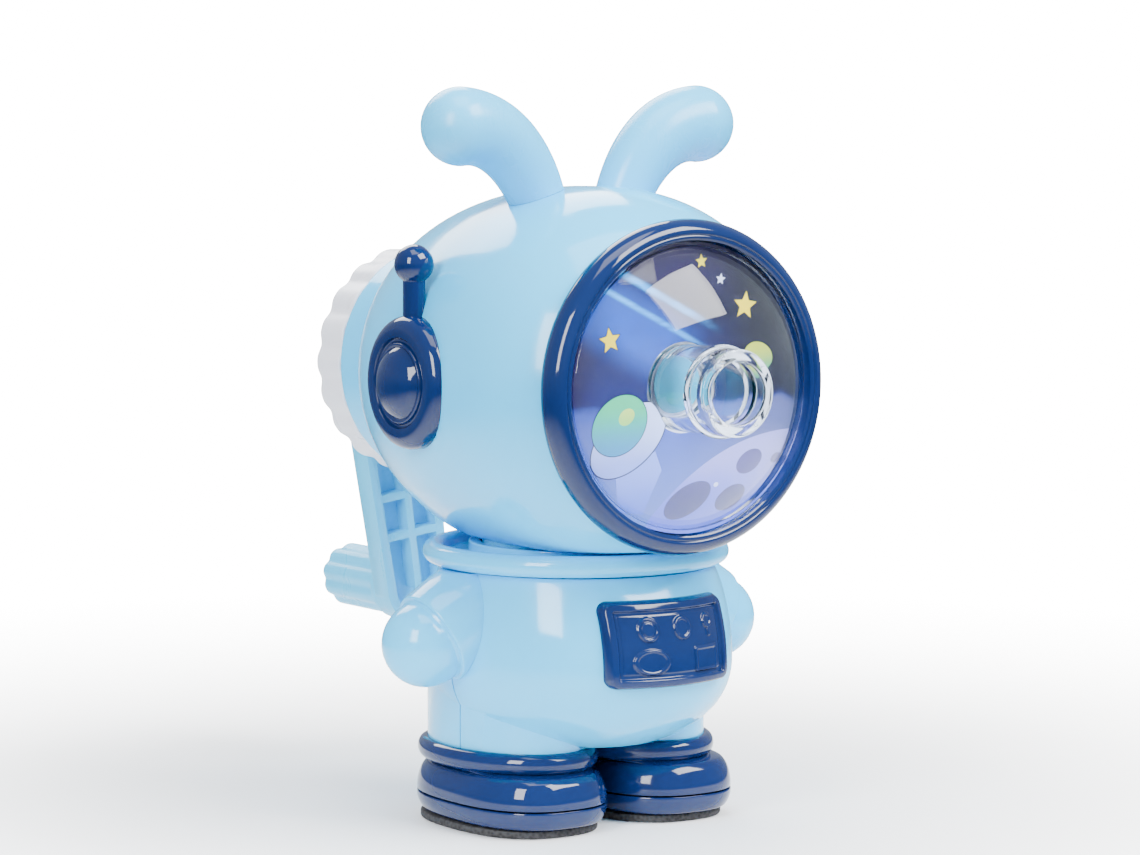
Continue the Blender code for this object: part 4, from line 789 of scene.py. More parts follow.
def build_rear_collar():
    spigot = head_radius(HEAD_REAR, WALL) - GAP
    face = head_radius(HEAD_REAR)
    corners = [(COLLAR_BORE, COLLAR_SEAT - 5.0, 0.3), (spigot, COLLAR_SEAT - 5.0, 0.3),
               (spigot, COLLAR_SEAT, 0.05),
               (face, COLLAR_SEAT, 0.3), (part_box("rear_collar")[1].x / MM, COLLAR_BACK, 1.1),
               (COLLAR_BORE, COLLAR_BACK, 0.3)]
    collar = lathe("rear_band", rounded(corners, count=6))
    finished(collar, SHELL, "head", "rear_collar")


# ---------------------------------------------------------------- window
RING_CENTRE = -31.4
RING_BORE = 24.5
RING_SHELF = -30.6
RING_FACE = HEAD_FRONT - GAP
RING_RADIUS = ring_high.x / MM


def build_visor_ring():
    sleeve = head_radius(HEAD_FRONT, WALL) - GAP
    bore = sleeve - 1.8
    centre = (RING_RADIUS - 2.4, RING_CENTRE)
    start = -math.degrees(math.acos((RING_BORE - centre[0]) / 2.4))
    end = math.degrees(math.asin((RING_FACE - RING_CENTRE) / 3.0))
    profile = rounded([(sleeve, RING_FACE + 2.4, 0.3), (bore, RING_FACE + 2.4, 0.3),
                       (bore, RING_SHELF, 0.2),
                       (RING_BORE, RING_SHELF, 0.1)], closed=False)
    for radius, y in arc(centre, (2.4, 3.0), start, end, 40):
        groove = math.exp(-((radius - 25.35) / 0.16) ** 2) if y < RING_CENTRE else 0.0
        profile.append((radius, y + 0.22 * groove))
    profile.append((sleeve, RING_FACE))
    ring = lathe("window_ring", profile, STEPS_WINDOW)
    finished(ring, NAVY, "head", "visor_ring")


CARD_BACK = RING_SHELF - GAP
CARD_FRONT = CARD_BACK - 0.5
DOME_BACK = CARD_FRONT - GAP
DOME_WALL, DOME_RISE = 1.2, 10.6
DOME_APEX = DOME_BACK - DOME_WALL - DOME_RISE
DOME_RIM = RING_BORE - GAP
DOME_SPHERE = (DOME_RIM ** 2 + DOME_RISE ** 2) / (2.0 * DOME_RISE)
PENCIL_COLLAR = 7.25
PENCIL_BORE = 5.2
COLLAR_FRONT = DOME_APEX - 3.0


def dome_depth(radius, sphere):
    return DOME_APEX + DOME_SPHERE - math.sqrt(sphere ** 2 - radius ** 2)


def build_visor_dome():
    wall = DOME_WALL
    inner_sphere = DOME_SPHERE - wall
    rows = 28
    fillet = 1.1
    profile = []
    for index in range(rows + 1):
        radius = PENCIL_COLLAR + fillet + (DOME_RIM - 0.25 - PENCIL_COLLAR - fillet) * index / rows
        profile.append((radius, dome_depth(radius, DOME_SPHERE)))
    rim = [(DOME_RIM, dome_depth(DOME_RIM, DOME_SPHERE) + 0.1, 0.2), (DOME_RIM, DOME_BACK, 0.25),
           (DOME_RIM - wall, DOME_BACK, 0.2)]
    profile += rounded([profile[-1]] + rim + [(DOME_RIM - wall, DOME_BACK - 1.0)], closed=False)[1:-1]
    for index in range(rows + 1):
        radius = DOME_RIM - wall + (PENCIL_COLLAR + 0.4 - DOME_RIM + wall) * index / rows
        profile.append((radius, dome_depth(radius, inner_sphere)))
    tube = [profile[-1], (PENCIL_COLLAR, dome_depth(PENCIL_COLLAR, inner_sphere) + 0.5, 0.3),
            (PENCIL_COLLAR, RING_SHELF, 0.25), (PENCIL_BORE, RING_SHELF, 0.25), (PENCIL_BORE, -41.2, 0.15),
            (PENCIL_BORE + 0.45, -41.7, 0.15), (PENCIL_BORE + 0.45, -43.6, 0.15),
            (PENCIL_BORE, -44.1, 0.15),
            (PENCIL_BORE, COLLAR_FRONT, 0.55), (PENCIL_COLLAR, COLLAR_FRONT, 0.55),
            (PENCIL_COLLAR, dome_depth(PENCIL_COLLAR + 0.5, DOME_SPHERE) - 0.1, 0.8), profile[0]]
    profile += rounded(tube, closed=False, count=6)[1:-1]
    dome = lathe("window_dome", profile, STEPS_WINDOW)
    finished(dome, CLEAR, "head", "visor_dome")


def flat_shape(outline, front, thickness=0.012):
    """A thin patch on the card (print, and one painted highlight), from (across, up) points; only its face
    and edge are kept.
    """
    count = len(outline)
    points = [(x, -z, front) for x, z in outline] + [(x, -z, front + thickness) for x, z in outline]
    faces = [tuple(range(count)), tuple(range(2 * count - 1, count - 1, -1))]
    for index in range(count):
        after = (index + 1) % count
        faces.append((index, after, count + after, count + index))
    return points, faces


def star_outline(x, z, size, lean):
    points = []
    for index in range(10):
        reach = size if index % 2 == 0 else size * 0.46
        angle = math.radians(90.0 + lean + 36.0 * index)
        points.append((x + reach * math.cos(angle), z + reach * math.sin(angle)))
    return points


def oval_outline(x, z, half_x, half_z, lean=0.0, start=0.0, end=360.0, count=48):
    points = []
    spin = math.radians(lean)
    for index in range(count):
        angle = math.radians(start + (end - start) * index / (count if end - start >= 360.0 else count - 1))
        a, b = half_x * math.cos(angle), half_z * math.sin(angle)
        points.append((x + a * math.cos(spin) - b * math.sin(spin),
                       z + a * math.sin(spin) + b * math.cos(spin)))
    return points


CARD_REACH = 24.05


def inside_card(outline, reach=CARD_REACH):
    points = []
    for x, z in outline:
        far = math.hypot(x, z)
        points.append((x, z) if far <= reach else (x * reach / far, z * reach / far))
    return points


def hill_outline():
    """The moon's rounded skyline, closed along the card's edge."""
    skyline = []
    for index in range(33):
        share = index / 32.0
        x = -8.5 + 31.5 * share
        z = -22.5 + 14.6 * (1.0 - (1.0 - share) ** 2.1)
        if math.hypot(x, z) < CARD_REACH:
            skyline.append((x, z))
    first, last = skyline[0], skyline[-1]
    start = math.degrees(math.atan2(last[1], last[0]))
    end = math.degrees(math.atan2(first[1], first[0]))
    edge = [(CARD_REACH * math.cos(math.radians(a)), CARD_REACH * math.sin(math.radians(a)))
            for a in [start + (end - start) * index / 40.0 for index in range(41)]]
    return skyline + edge


def build_star_card():
    hole = PENCIL_COLLAR + GAP
    corners = [(hole, CARD_FRONT), (DOME_RIM, CARD_FRONT), (DOME_RIM, CARD_BACK), (hole, CARD_BACK)]
    card = lathe("printed_card", rounded(corners, 0.12, count=2), STEPS_WINDOW)
    looks = [SKY]
    layers = []

    def ink(look, outline, layer):
        if look not in looks:
            looks.append(look)
        layers.append((look, inside_card(outline), layer))

    ink(HILL_INK, hill_outline(), 1)
    ink(CRATER_INK, oval_outline(13.4, -12.9, 2.9, 1.7, 28.0), 2)
    ink(CRATER_INK, oval_outline(0.6, -18.6, 5.2, 2.3, 24.0), 2)
    ink(CRATER_INK, oval_outline(9.3, -18.6, 3.4, 1.6, 26.0), 2)
    ink(CRATER_INK, oval_outline(19.0, -12.6, 1.2, 0.7, 30.0), 2)
    # A small white oval on the moon, between the craters: a painted highlight.
    ink(STAR_WHITE_AND_PAINTED_HIGHLIGHT, oval_outline(6.5, -16.4, 0.5, 0.35, 20.0), 2)
    ink(TEAL_INK, oval_outline(-0.6, 0.6, 4.6, 4.9), 1)
    ink(LIME_INK, oval_outline(15.3, 4.6, 3.0, 2.3, -20.0), 1)
    ink(BEAM_INK, [(-13.8, -14.2), (-5.9, -10.2), (-4.6, -13.4), (-8.5, -20.4), (-13.4, -19.4)], 1)
    ink(OUTLINE_INK, oval_outline(-11.3, -8.1, 8.6, 4.9, 33.0), 2)
    ink(RIM_INK, oval_outline(-11.3, -8.1, 8.4, 4.7, 33.0), 3)
    ink(OUTLINE_INK, oval_outline(-13.1, -5.6, 5.95, 4.7, 33.0), 4)
    ink(GLASS_INK, oval_outline(-13.1, -5.6, 5.8, 4.55, 33.0), 5)
    ink(GLOW_INK, oval_outline(-11.7, -4.3, 1.7, 1.25, 33.0), 6)
    for look, x, z, size, lean in ((STAR_YELLOW, -15.0, 8.3, 2.15, 8.0),
                                   (STAR_YELLOW, 12.4, 13.1, 2.4, -6.0),
                                   (STAR_YELLOW, 3.3, 20.6, 1.2, 4.0), (STAR_WHITE_AND_PAINTED_HIGHLIGHT, 7.3, 17.6, 1.0, -8.0)):
        ink(OUTLINE_INK, star_outline(x, z, size * 1.14, lean), 1)
        ink(look, star_outline(x, z, size, lean), 2)
    bm = bmesh.new()
    bm.from_mesh(card.data)
    for look, outline, layer in layers:
        points, faces = flat_shape(outline, CARD_FRONT - 0.012 * layer - 0.004)
        made = [bm.verts.new(point) for point in points]
        for corners in faces:
            face = bm.faces.new([made[corner] for corner in corners])
            face.material_index = looks.index(look)
    bmesh.ops.recalc_face_normals(bm, faces=bm.faces)
    bm.to_mesh(card.data)
    bm.free()
    card.data.set_sharp_from_angle(angle=math.radians(30.0))
    finished(card, looks, "head", "star_card")


DISC_BACK = APEX - (APEX_TO_PINION + GEAR_HALF) * math.cos(math.radians(CUTTER_TILT)) \
    - (PITCH_PINION + 0.55) * math.sin(math.radians(CUTTER_TILT)) - GAP
DISC_FRONT = DISC_BACK - 1.9
NOSE_FRONT = DISC_FRONT - 4.6


def build_pencil_guide():
    front = RING_SHELF + GAP
    flange = head_radius(HEAD_FRONT, WALL) - GAP - 1.8 - GAP
    outer = PENCIL_BORE + 1.8
    stop = NOSE_FRONT - 1.0
    corners = [(PENCIL_BORE, front, 0.5), (flange, front, 0.2), (flange, front + 1.5, 0.3),
               (outer, front + 1.5, 0.8), (outer, stop, 0.5), (PENCIL_BORE, stop, 0.3)]
    guide = lathe("pencil_guide_tube", rounded(corners))
    finished(guide, WHITE, "head", "pencil_guide")


# ---------------------------------------------------------------- ears and headphones
EAR_POINTS = [Vector(point) for point in ((8.0, 0.0, 104.5), (10.5, 0.0, 112.5), (16.0, 0.0, 119.5),
                                          (24.45, 0.0, 119.5))]
EAR_Y = -1.3
EAR_ROOT_RADIUS, EAR_TIP_RADIUS = 4.7, 6.7


def ear_place(share):
    rest = 1.0 - share
    a, b, c, d = EAR_POINTS
    point = a * rest ** 3 + b * 3.0 * rest ** 2 * share + c * 3.0 * rest * share ** 2 + d * share ** 3
    along = (b - a) * rest ** 2 + (c - b) * 2.0 * rest * share + (d - c) * share ** 2
    return point, along.normalized()


def build_ear(name, node, side):
    stations, around = 44, 72
    path = []
    for index in range(stations + 1):
        share = index / stations
        point, along = ear_place(share)
        path.append((point, along, EAR_ROOT_RADIUS + (EAR_TIP_RADIUS - EAR_ROOT_RADIUS) * share))
    tip, along, _ = path[-1]
    for index in range(1, 20):
        lift = math.radians(88.5 * index / 19)
        path.append((tip + along * EAR_TIP_RADIUS * math.sin(lift), along, EAR_TIP_RADIUS * math.cos(lift)))
    sections = []
    for point, along, radius in path:
        across = Vector((along.z, 0.0, -along.x))
        section = []
        for index in range(around):
            angle = 2.0 * math.pi * index / around
            place = point + across * radius * math.cos(angle) + Vector((0.0, radius * math.sin(angle), 0.0))
            section.append((side * place.x, place.y + EAR_Y, place.z))
        sections.append(section)
    ear = loft(name, sections)
    cut(ear, head_solid("ear_seat", -0.06))
    finished(cleaned(ear, name + "_shell", 40.0), EAR, "head", node, BODY)


PHONE_RADIUS = 11.3
PHONE_SEAT, PHONE_RIM, PHONE_OUT = 26.5, 33.6, 36.8
PHONE_Y = 3.0
AERIAL_X = 31.0


def build_headphone(name, node, side):
    rim = PHONE_RIM
    profile = [(0.0, PHONE_SEAT), (PHONE_RADIUS, PHONE_SEAT)]
    profile += arc((PHONE_RADIUS - 2.6, rim - 1.7), (2.6, 2.5), 0.0, 84.0, 18)
    profile += rounded([(7.75, rim + 0.7), (7.4, rim + 0.1, 0.3), (7.0, rim + 0.2, 0.25),
                        (6.7, rim + 0.95, 0.5),
                        (6.1, rim + 0.75)], closed=False, count=5)
    profile += arc((0.0, PHONE_OUT - 2.9), (6.0, 2.9), 20.0, 90.0, 18)[1:]
    profile[-1] = (0.0, PHONE_OUT)
    disc = lathe(name, profile)
    moved(disc, move(0.0, PHONE_Y, AXIS_HEIGHT) @ turn(90.0 * side, "Y"))
    ball = 3.35
    middle = 19.9
    neck = math.degrees(math.acos(1.9 / ball))
    stem = [(0.0, 0.7 * PHONE_RADIUS), (1.9, 0.7 * PHONE_RADIUS)]
    stem += rounded([(1.9, 9.0), (1.9, middle - ball * math.sin(math.radians(neck)), 0.35),
                     arc((0.0, middle), (ball, ball), -neck, 90.0, 30)[3]], closed=False)[1:-1]
    stem += arc((0.0, middle), (ball, ball), -neck, 90.0, 30)[3:-1] + [(0.0, middle + ball)]
    aerial = moved(lathe(name + "_aerial", stem, STEPS_SMALL), move(side * AERIAL_X, PHONE_Y, AXIS_HEIGHT))
    joined(disc, aerial)
    cut(disc, head_solid("phone_seat", -0.06))
    finished(cleaned(disc, name + "_cover", 42.0), NAVY, "head", node, BODY)


# ---------------------------------------------------------------- sharpening mechanism
SLIDE_GAP = 0.5
CAGE_RADIUS = COLLAR_BORE - SLIDE_GAP
GRIP_FRONT = COLLAR_BACK + GAP
GRIP_BACK = GRIP_FRONT + 8.5
GRIP_FLOOR = GRIP_BACK - 2.5
GRIP_RADIUS = 21.0
BUSH_BACK = GRIP_BACK + 0.7
SHAFT_RADIUS = 3.2
PLATE_FRONT = APEX - (APEX_TO_PINION - GEAR_HALF - GAP - CUTTER_LENGTH) \
    * math.cos(math.radians(CUTTER_TILT)) \
    + CUTTER_RADIUS * math.sin(math.radians(CUTTER_TILT)) + GAP
PLATE_BACK = PLATE_FRONT + 1.9
HUB_FRONT = BUSH_BACK + GAP
CRANK_FRONT = HUB_FRONT + 6.2
CRANK_BACK = CRANK_FRONT + 5.0
SCREW_SEAT = CRANK_BACK - 1.6
SHAFT_END = SCREW_SEAT - 1.6 - GAP
PIN_RADIUS = 1.2
BUSH_RADIUS = 5.3
CARRIER_DISC = 12.2
SCREW_LENGTH = 7.0
SCREW_HEAD = 4.1


def build_grip_cap():
    skirt = GRIP_RADIUS - 0.7 - 1.7
    corners = [(BUSH_RADIUS + GAP, GRIP_FLOOR, 0.2), (BUSH_RADIUS + GAP, GRIP_BACK, 0.4),
               (11.0, GRIP_BACK, 0.2),
               (11.3, GRIP_BACK - 0.35, 0.2), (12.3, GRIP_BACK - 0.35, 0.2), (12.6, GRIP_BACK, 0.2),
               (GRIP_RADIUS * 0.985, GRIP_BACK, 1.0), (GRIP_RADIUS, GRIP_FRONT, 0.35),
               (skirt, GRIP_FRONT, 0.3),
               (skirt, GRIP_FLOOR, 0.4)]
    dense = []
    profile = rounded(corners, count=5)
    for index, (radius, y) in enumerate(profile):
        dense.append((radius, y))
        after = profile[(index + 1) % len(profile)]
        if min(radius, after[0]) > 20.0 and abs(after[1] - y) > 2.0:
            for step in range(1, 6):
                share = step / 6.0
                dense.append((radius + (after[0] - radius) * share, y + (after[1] - y) * share))
    cap = lathe("ribbed_cap", dense, 240)
    grown(cap, FLUTES, Lobes=20.0, Depth=0.7, Crispness=1.6, Low=GRIP_FRONT - 3.0, High=GRIP_BACK + 2.2,
          Fade=3.0, Inside_Radius=19.2, Material=WHITE)
    finished(cleaned(cap, "ribbed_grip_cap"), WHITE, "mechanism", "grip_cap")


def build_cutter_cage():
    front = GEAR_PLANE + GEAR_HALF + GAP
    bore = CAGE_RADIUS - 1.5
    corners = [(bore, front), (CAGE_RADIUS, front), (CAGE_RADIUS, GRIP_FLOOR - GAP),
               (bore, GRIP_FLOOR - GAP)]
    cage = lathe("gear_cage", rounded(corners, 0.3))
    half, far = 9.0, 2.0 * CAGE_RADIUS
    low, high = front + 3.5, GRIP_FRONT - 6.0
    for reach_x, reach_y in ((far, half), (half, far)):
        cut(cage, block("cage_window", (-reach_x, -reach_y, low), (reach_x, reach_y, high)))
    finished(cleaned(cage, "gear_cage_tube"), WHITE, "mechanism", "cutter_cage")


def gear_points(teeth, pitch, tip, root, play, per_edge):
    """Outline of straight-flanked teeth, with extra points along each edge."""
    half_tooth = math.pi * pitch / (2.0 * teeth) - play / 2.0
    slope = math.tan(math.radians(20.0))
    corners = []
    for tooth in range(teeth):
        for radius, side in ((pitch - root, -1), (pitch + tip, -1), (pitch + tip, 1), (pitch - root, 1)):
            half = half_tooth - (radius - pitch) * slope
            angle = 2.0 * math.pi * tooth / teeth + side * half / radius
            corners.append((radius * math.cos(angle), radius * math.sin(angle)))
    points = []
    for here, after in zip(corners, corners[1:] + corners[:1]):
        for step in range(per_edge):
            share = step / per_edge
            points.append((here[0] + (after[0] - here[0]) * share, here[1] + (after[1] - here[1]) * share))
    return points


def facing_circle(outline, radius):
    """Points on a circle at the same angles as an outline's points."""
    return [(radius * x / math.hypot(x, y), radius * y / math.hypot(x, y)) for x, y in outline]


def scaled_loop(outline, scale, height):
    return [(x * scale, y * scale, height) for x, y in outline]


def build_gears():
    low, high = GEAR_PLANE - GEAR_HALF, GEAR_PLANE + GEAR_HALF
    teeth = gear_points(36, PITCH_RING, 0.85, 0.55, -0.17, 2)
    rim = facing_circle(teeth, CAGE_RADIUS)
    narrow = GEAR_HALF / APEX_TO_RING
    ring = annulus("fixed_gear", scaled_loop(rim, 1.0, low), scaled_loop(rim, 1.0, high),
                   scaled_loop(teeth, 1.0 + narrow, low), scaled_loop(teeth, 1.0 - narrow, high))
    finished(ring, WHITE, "mechanism", "ring_gear")
    teeth = gear_points(12, PITCH_PINION, 0.55, 0.85, 0.17, 3)
    hole = facing_circle(teeth, PIN_RADIUS + GAP)
    narrow = GEAR_HALF / APEX_TO_PINION
    pinion = annulus("cutter_gear", scaled_loop(teeth, 1.0 + narrow, -APEX_TO_PINION - GEAR_HALF),
                     scaled_loop(teeth, 1.0 - narrow, -APEX_TO_PINION + GEAR_HALF),
                     scaled_loop(hole, 1.0, -APEX_TO_PINION - GEAR_HALF),
                     scaled_loop(hole, 1.0, -APEX_TO_PINION + GEAR_HALF))
    finished(pinion, WHITE, "cutter", "cutter_pinion", CUTTER)


def build_bush():
    bore = SHAFT_RADIUS + GAP
    back = GRIP_FLOOR - GAP
    corners = [(bore, back - 1.5), (7.0, back - 1.5), (7.0, back), (BUSH_RADIUS, back, 0.05),
               (BUSH_RADIUS, BUSH_BACK),
               (bore, BUSH_BACK)]
    finished(lathe("shaft_bearing", rounded(corners, 0.2), STEPS_SMALL), BRASS, "mechanism", "shaft_bush")


def build_carrier():
    corners = [(0.0, NOSE_FRONT), (6.2, NOSE_FRONT, 0.4), (6.2, DISC_FRONT, 0.3),
               (CARRIER_DISC, DISC_FRONT, 0.3),
               (CARRIER_DISC, DISC_BACK, 0.3), (7.6, DISC_BACK, 0.2),
               (7.6, PLATE_FRONT, 0.2), (CARRIER_DISC, PLATE_FRONT, 0.3),
               (CARRIER_DISC, PLATE_BACK, 0.3), (SHAFT_RADIUS, PLATE_BACK, 0.6),
               (SHAFT_RADIUS, SHAFT_END, 0.3),
               (0.0, SHAFT_END)]
    carrier = lathe("cutter_cradle", rounded(corners, closed=False, count=3), 96)
    opening = block("cradle_opening", (-26.0, -26.0, DISC_BACK), (26.0, 1.0, PLATE_FRONT))
    cone_start = DISC_BACK + WALL
    bore = drum("cradle_bore", 4.3, NOSE_FRONT - WALL, cone_start)
    cone = drum("cradle_cone", 4.3, cone_start - GAP, cone_start + 21.5, far_radius=0.1)
    thread = drum("cradle_thread", 1.5, SCREW_SEAT - SCREW_LENGTH - GAP, SHAFT_END + WALL, 32)
    pin_hole = moved(drum("cradle_pin_hole", PIN_RADIUS + GAP, -2.0 * APEX_TO_PINION, 0.0, 32),
                     CUTTER_LOCAL)
    for tool in (opening, bore, cone, thread, pin_hole):
        cut(carrier, tool)
    finished(cleaned(carrier, "cutter_carrier_casting"), WHITE, "crank", "cutter_carrier")


def build_cutter():
    front = -(APEX_TO_PINION - GEAR_HALF - GAP)
    back = front + CUTTER_LENGTH
    bore = PIN_RADIUS + GAP
    rows = 64
    profile = [(bore, back), (bore, front)]
    profile += [(CUTTER_RADIUS, front + (back - front) * index / rows) for index in range(rows + 1)]
    cutter = lathe("milling_cutter", profile, 240)
    twist = math.radians(150.0) / (back - front)
    grown(cutter, FLUTES, Lobes=10.0, Depth=0.7, Crispness=3.0, Twist=-twist, Low=front - 2.0,
          High=back + 2.0, Fade=0.5, Inside_Radius=2.5, Material=STEEL)
    finished(cleaned(cutter, "helical_milling_cutter"), STEEL, "cutter", "helical_cutter", CUTTER)
    low = -(APEX - DISC_FRONT) / math.cos(math.radians(CUTTER_TILT))
    high = -(APEX - PLATE_BACK) / math.cos(math.radians(CUTTER_TILT))
    pin = lathe("cutter_axle", rounded([(0.0, low), (PIN_RADIUS, low, 0.25), (PIN_RADIUS, high, 0.25),
                                        (0.0, high)],
                                       closed=False), 48)
    finished(pin, STEEL, "crank", "cutter_pin", CUTTER)


# ---------------------------------------------------------------- crank and knob
KNOB_FRONT = CRANK_BACK + GAP
KNOB_BACK = KNOB_FRONT + 21.2
POST_LIP = 2.4
POST_SHOULDER = KNOB_FRONT + 14.5 - POST_LIP
POST_RADIUS, POST_LIP_RADIUS = 2.3, 3.0


def build_crank_arm():
    near, far, wall = 8.6, 6.6, 1.8
    arm = prism("crank_lever", capsule(near, far, CRANK_LENGTH, 0.0, 48), CRANK_FRONT, CRANK_BACK)
    pocket = prism("crank_pocket", capsule(near, far, CRANK_LENGTH, wall, 48), CRANK_FRONT - WALL,
                   CRANK_BACK - 1.6)
    low, high = CRANK_FRONT - 2.0 * WALL, CRANK_BACK
    half = 0.7
    first, last, count = 7.6, CRANK_LENGTH - far, 4
    step = (last - first) / count
    rib = block("cross_rib", (-17.0, -half, low), (17.0, half, high))
    ribs = copies_of(rib, "cross_ribs", ROW, Count=count, Start=(0.0, first + step / 2.0, 0.0),
                     Step=(0.0, step, 0.0), Material=ICE)
    cut(pocket, block("long_rib", (-half, 0.0, low), (half, CRANK_LENGTH, high)))
    cut(pocket, ribs)
    cut(arm, pocket)
    joined(arm, drum("crank_hub", 7.6, HUB_FRONT, CRANK_BACK - GAP, 96))
    for tool in (drum("crank_bore", SHAFT_RADIUS + GAP, HUB_FRONT - WALL, SHAFT_END + GAP),
                 drum("screw_hole", 1.5, HUB_FRONT, CRANK_BACK + WALL, 32),
                 drum("screw_recess", SCREW_HEAD + GAP, SCREW_SEAT, CRANK_BACK + WALL)):
        cut(arm, tool)
    softened(arm, 0.22)
    base = CRANK_BACK - 0.8
    shoulder = POST_SHOULDER
    post_corners = [(0.0, base), (POST_RADIUS, base), (POST_RADIUS, shoulder, 0.1),
                    (POST_LIP_RADIUS, shoulder, 0.15),
                    (1.6, shoulder + POST_LIP, 0.2), (0.0, shoulder + POST_LIP)]
    post = moved(lathe("knob_post", rounded(post_corners, 0.0, closed=False), 48),
                 move(0.0, CRANK_LENGTH, 0.0))
    joined(arm, post)
    finished(cleaned(arm, "crank_lever_arm"), ICE, "crank", "crank_arm", CRANK)


def build_hub_screw():
    seat = SCREW_SEAT + GAP
    profile = rounded([(0.0, SCREW_SEAT - SCREW_LENGTH), (1.2, SCREW_SEAT - SCREW_LENGTH, 0.3),
                       (1.2, seat, 0.05), (SCREW_HEAD, seat, 0.12),
                       (SCREW_HEAD, seat + 0.5, 0.0)], closed=False)[:-1]
    profile += arc((0.0, seat), (SCREW_HEAD, 1.5), 16.0, 90.0, 16)[:-1] + [(0.0, seat + 1.5)]
    screw = lathe("pan_head_screw", profile, 96)
    top = seat + 1.5
    for half_x, half_y in ((2.2, 0.4), (0.4, 2.2)):
        cut(screw, block("cross_slot", (-half_x, -half_y, top - 0.9), (half_x, half_y, top + WALL)))
    finished(cleaned(screw, "crank_screw"), STEEL, "crank", "hub_screw", CRANK)


def build_knob():
    bore, pocket = POST_RADIUS + GAP + 0.1, POST_LIP_RADIUS + GAP
    shoulder = POST_SHOULDER
    corners = [(0.0, KNOB_FRONT + 16.5), (pocket, KNOB_FRONT + 16.5, 0.2), (pocket, shoulder - GAP, 0.1),
               (bore, shoulder - GAP, 0.1), (bore, KNOB_FRONT, 0.3), (6.4, KNOB_FRONT, 0.4),
               (6.4, KNOB_FRONT + 1.5, 0.4), (5.9, KNOB_FRONT + 1.7, 0.2)]
    profile = rounded(corners, closed=False, count=4)
    start = KNOB_FRONT + 2.0
    rounding = 2.6
    end = KNOB_BACK - rounding
    profile += [(5.9, start + (end - start) * index / 10.0) for index in range(10)]
    profile += arc((5.9 - rounding, end), (rounding, rounding), 0.0, 84.0, 12)
    profile += [(2.6, KNOB_BACK), (0.0, KNOB_BACK)]
    knob = lathe("fluted_knob", profile, 216)
    grown(knob, FLUTES, Lobes=9.0, Depth=0.5, Crispness=1.5, Low=KNOB_FRONT + 1.2, High=KNOB_BACK + 0.3,
          Fade=1.4, Inside_Radius=3.4, Material=ICE)
    finished(cleaned(knob, "crank_knob", 32.0), ICE, "knob", "knob", KNOB)


# ---------------------------------------------------------------- body
NECK_BOTTOM, NECK_TOP = 44.5, 48.2
TORSO_TOP, TORSO_BOTTOM = 44.2, 14.3
TORSO_RADIUS, TORSO_WIDEST = 25.8, 29.0
LEG_X, LEG_Y = 12.3, 3.0
LEG_HALF_WIDTH, LEG_HALF_DEPTH = 11.8, 17.5
LEG_BOTTOM = 10.8


def torso_radius(z, inset=0.0):
    reach = (31.2 if z > TORSO_WIDEST else 17.0) - inset
    share = min(abs(z - TORSO_WIDEST) / reach, 1.0)
    return (TORSO_RADIUS - inset) * (1.0 - share ** 2.3) ** (1.0 / 2.3)


def belly_factor(z):
    return 1.0 + 0.136 * max(0.0, 1.0 - ((z - 27.0) / 20.0) ** 2)


def torso_solid(name, inset, top, rows=44, steps=STEPS):
    bottom = TORSO_BOTTOM + inset
    profile = [(0.0, bottom)]
    for index in range(rows + 1):
        share = 1.0 - math.cos(math.pi / 2.0 * index / rows)
        z = bottom + (top - bottom) * share
        profile.append((torso_radius(z, inset), z))
    profile.append((0.0, top))
    solid = lathe(name, profile, steps)
    for vertex in solid.data.vertices:
        if vertex.co.y < 0.0:
            vertex.co.y *= belly_factor(vertex.co.z)
    return solid


def leg_solid(name, side, inset, low, high):
    outline = superellipse(LEG_HALF_WIDTH - inset, LEG_HALF_DEPTH - inset, 2.0, 96)
    return moved(prism(name, outline, low, high), move(side * LEG_X, LEG_Y, 0.0))


def build_torso():
    whole = torso_solid("torso", 0.0, TORSO_TOP)
    for side in (-1, 1):
        joined(whole, leg_solid("leg", side, 0.0, LEG_BOTTOM, TORSO_WIDEST))
    cavity = torso_solid("torso_cavity", WALL, TORSO_TOP - WALL, 32, 96)
    for side in (-1, 1):
        joined(cavity, leg_solid("leg_cavity", side, WALL, LEG_BOTTOM + WALL, TORSO_WIDEST))
    cut(whole, cavity)
    cut(whole, drum("torso_mouth", SPIGOT_RADIUS + 2.0 * GAP + SOCKET_WALL, TORSO_TOP - 2.0 * WALL,
                    TORSO_TOP + WALL, STEPS))
    wide, seam = 60.0, GAP / 2.0
    for node, low_y, high_y in (("torso_front", -seam, wide), ("torso_back", -wide, seam)):
        half = copy_of(whole, node + "_half")
        cut(half, block("other_half", (-wide, low_y, -wide), (wide, high_y, 2.0 * wide)))
        finished(cleaned(half, node + "_shell", 36.0), SHELL, "torso", node, BODY)
    bpy.data.objects.remove(whole, do_unlink=True)


def build_neck_ring():
    bore = SPIGOT_RADIUS + GAP
    skirt = bore + SOCKET_WALL
    seat = bore + 2.0
    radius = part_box("neck_ring")[1].x / MM
    rim = 1.85
    centre = (radius - rim, (NECK_TOP + NECK_BOTTOM) / 2.0)
    plate = NECK_BOTTOM + 1.6
    profile = rounded([(skirt, NECK_BOTTOM - 1.0), (skirt, NECK_BOTTOM - 3.3, 0.3),
                       (bore, NECK_BOTTOM - 3.3, 0.3),
                       (bore, NECK_TOP, 0.3), (seat, NECK_TOP, 0.3), (seat, plate, 0.4),
                       (centre[0] - rim, plate, 0.3), (centre[0] - rim * 0.9, plate + 0.8)], closed=False)
    profile += arc(centre, (rim, (NECK_TOP - NECK_BOTTOM) / 2.0), 150.0, -90.0, 30)
    profile.append((skirt + 0.4, NECK_BOTTOM))
    ring = lathe("neck_collar", profile)
    finished(ring, SHELL, "torso", "neck_ring", BODY)


HAND = 7.4


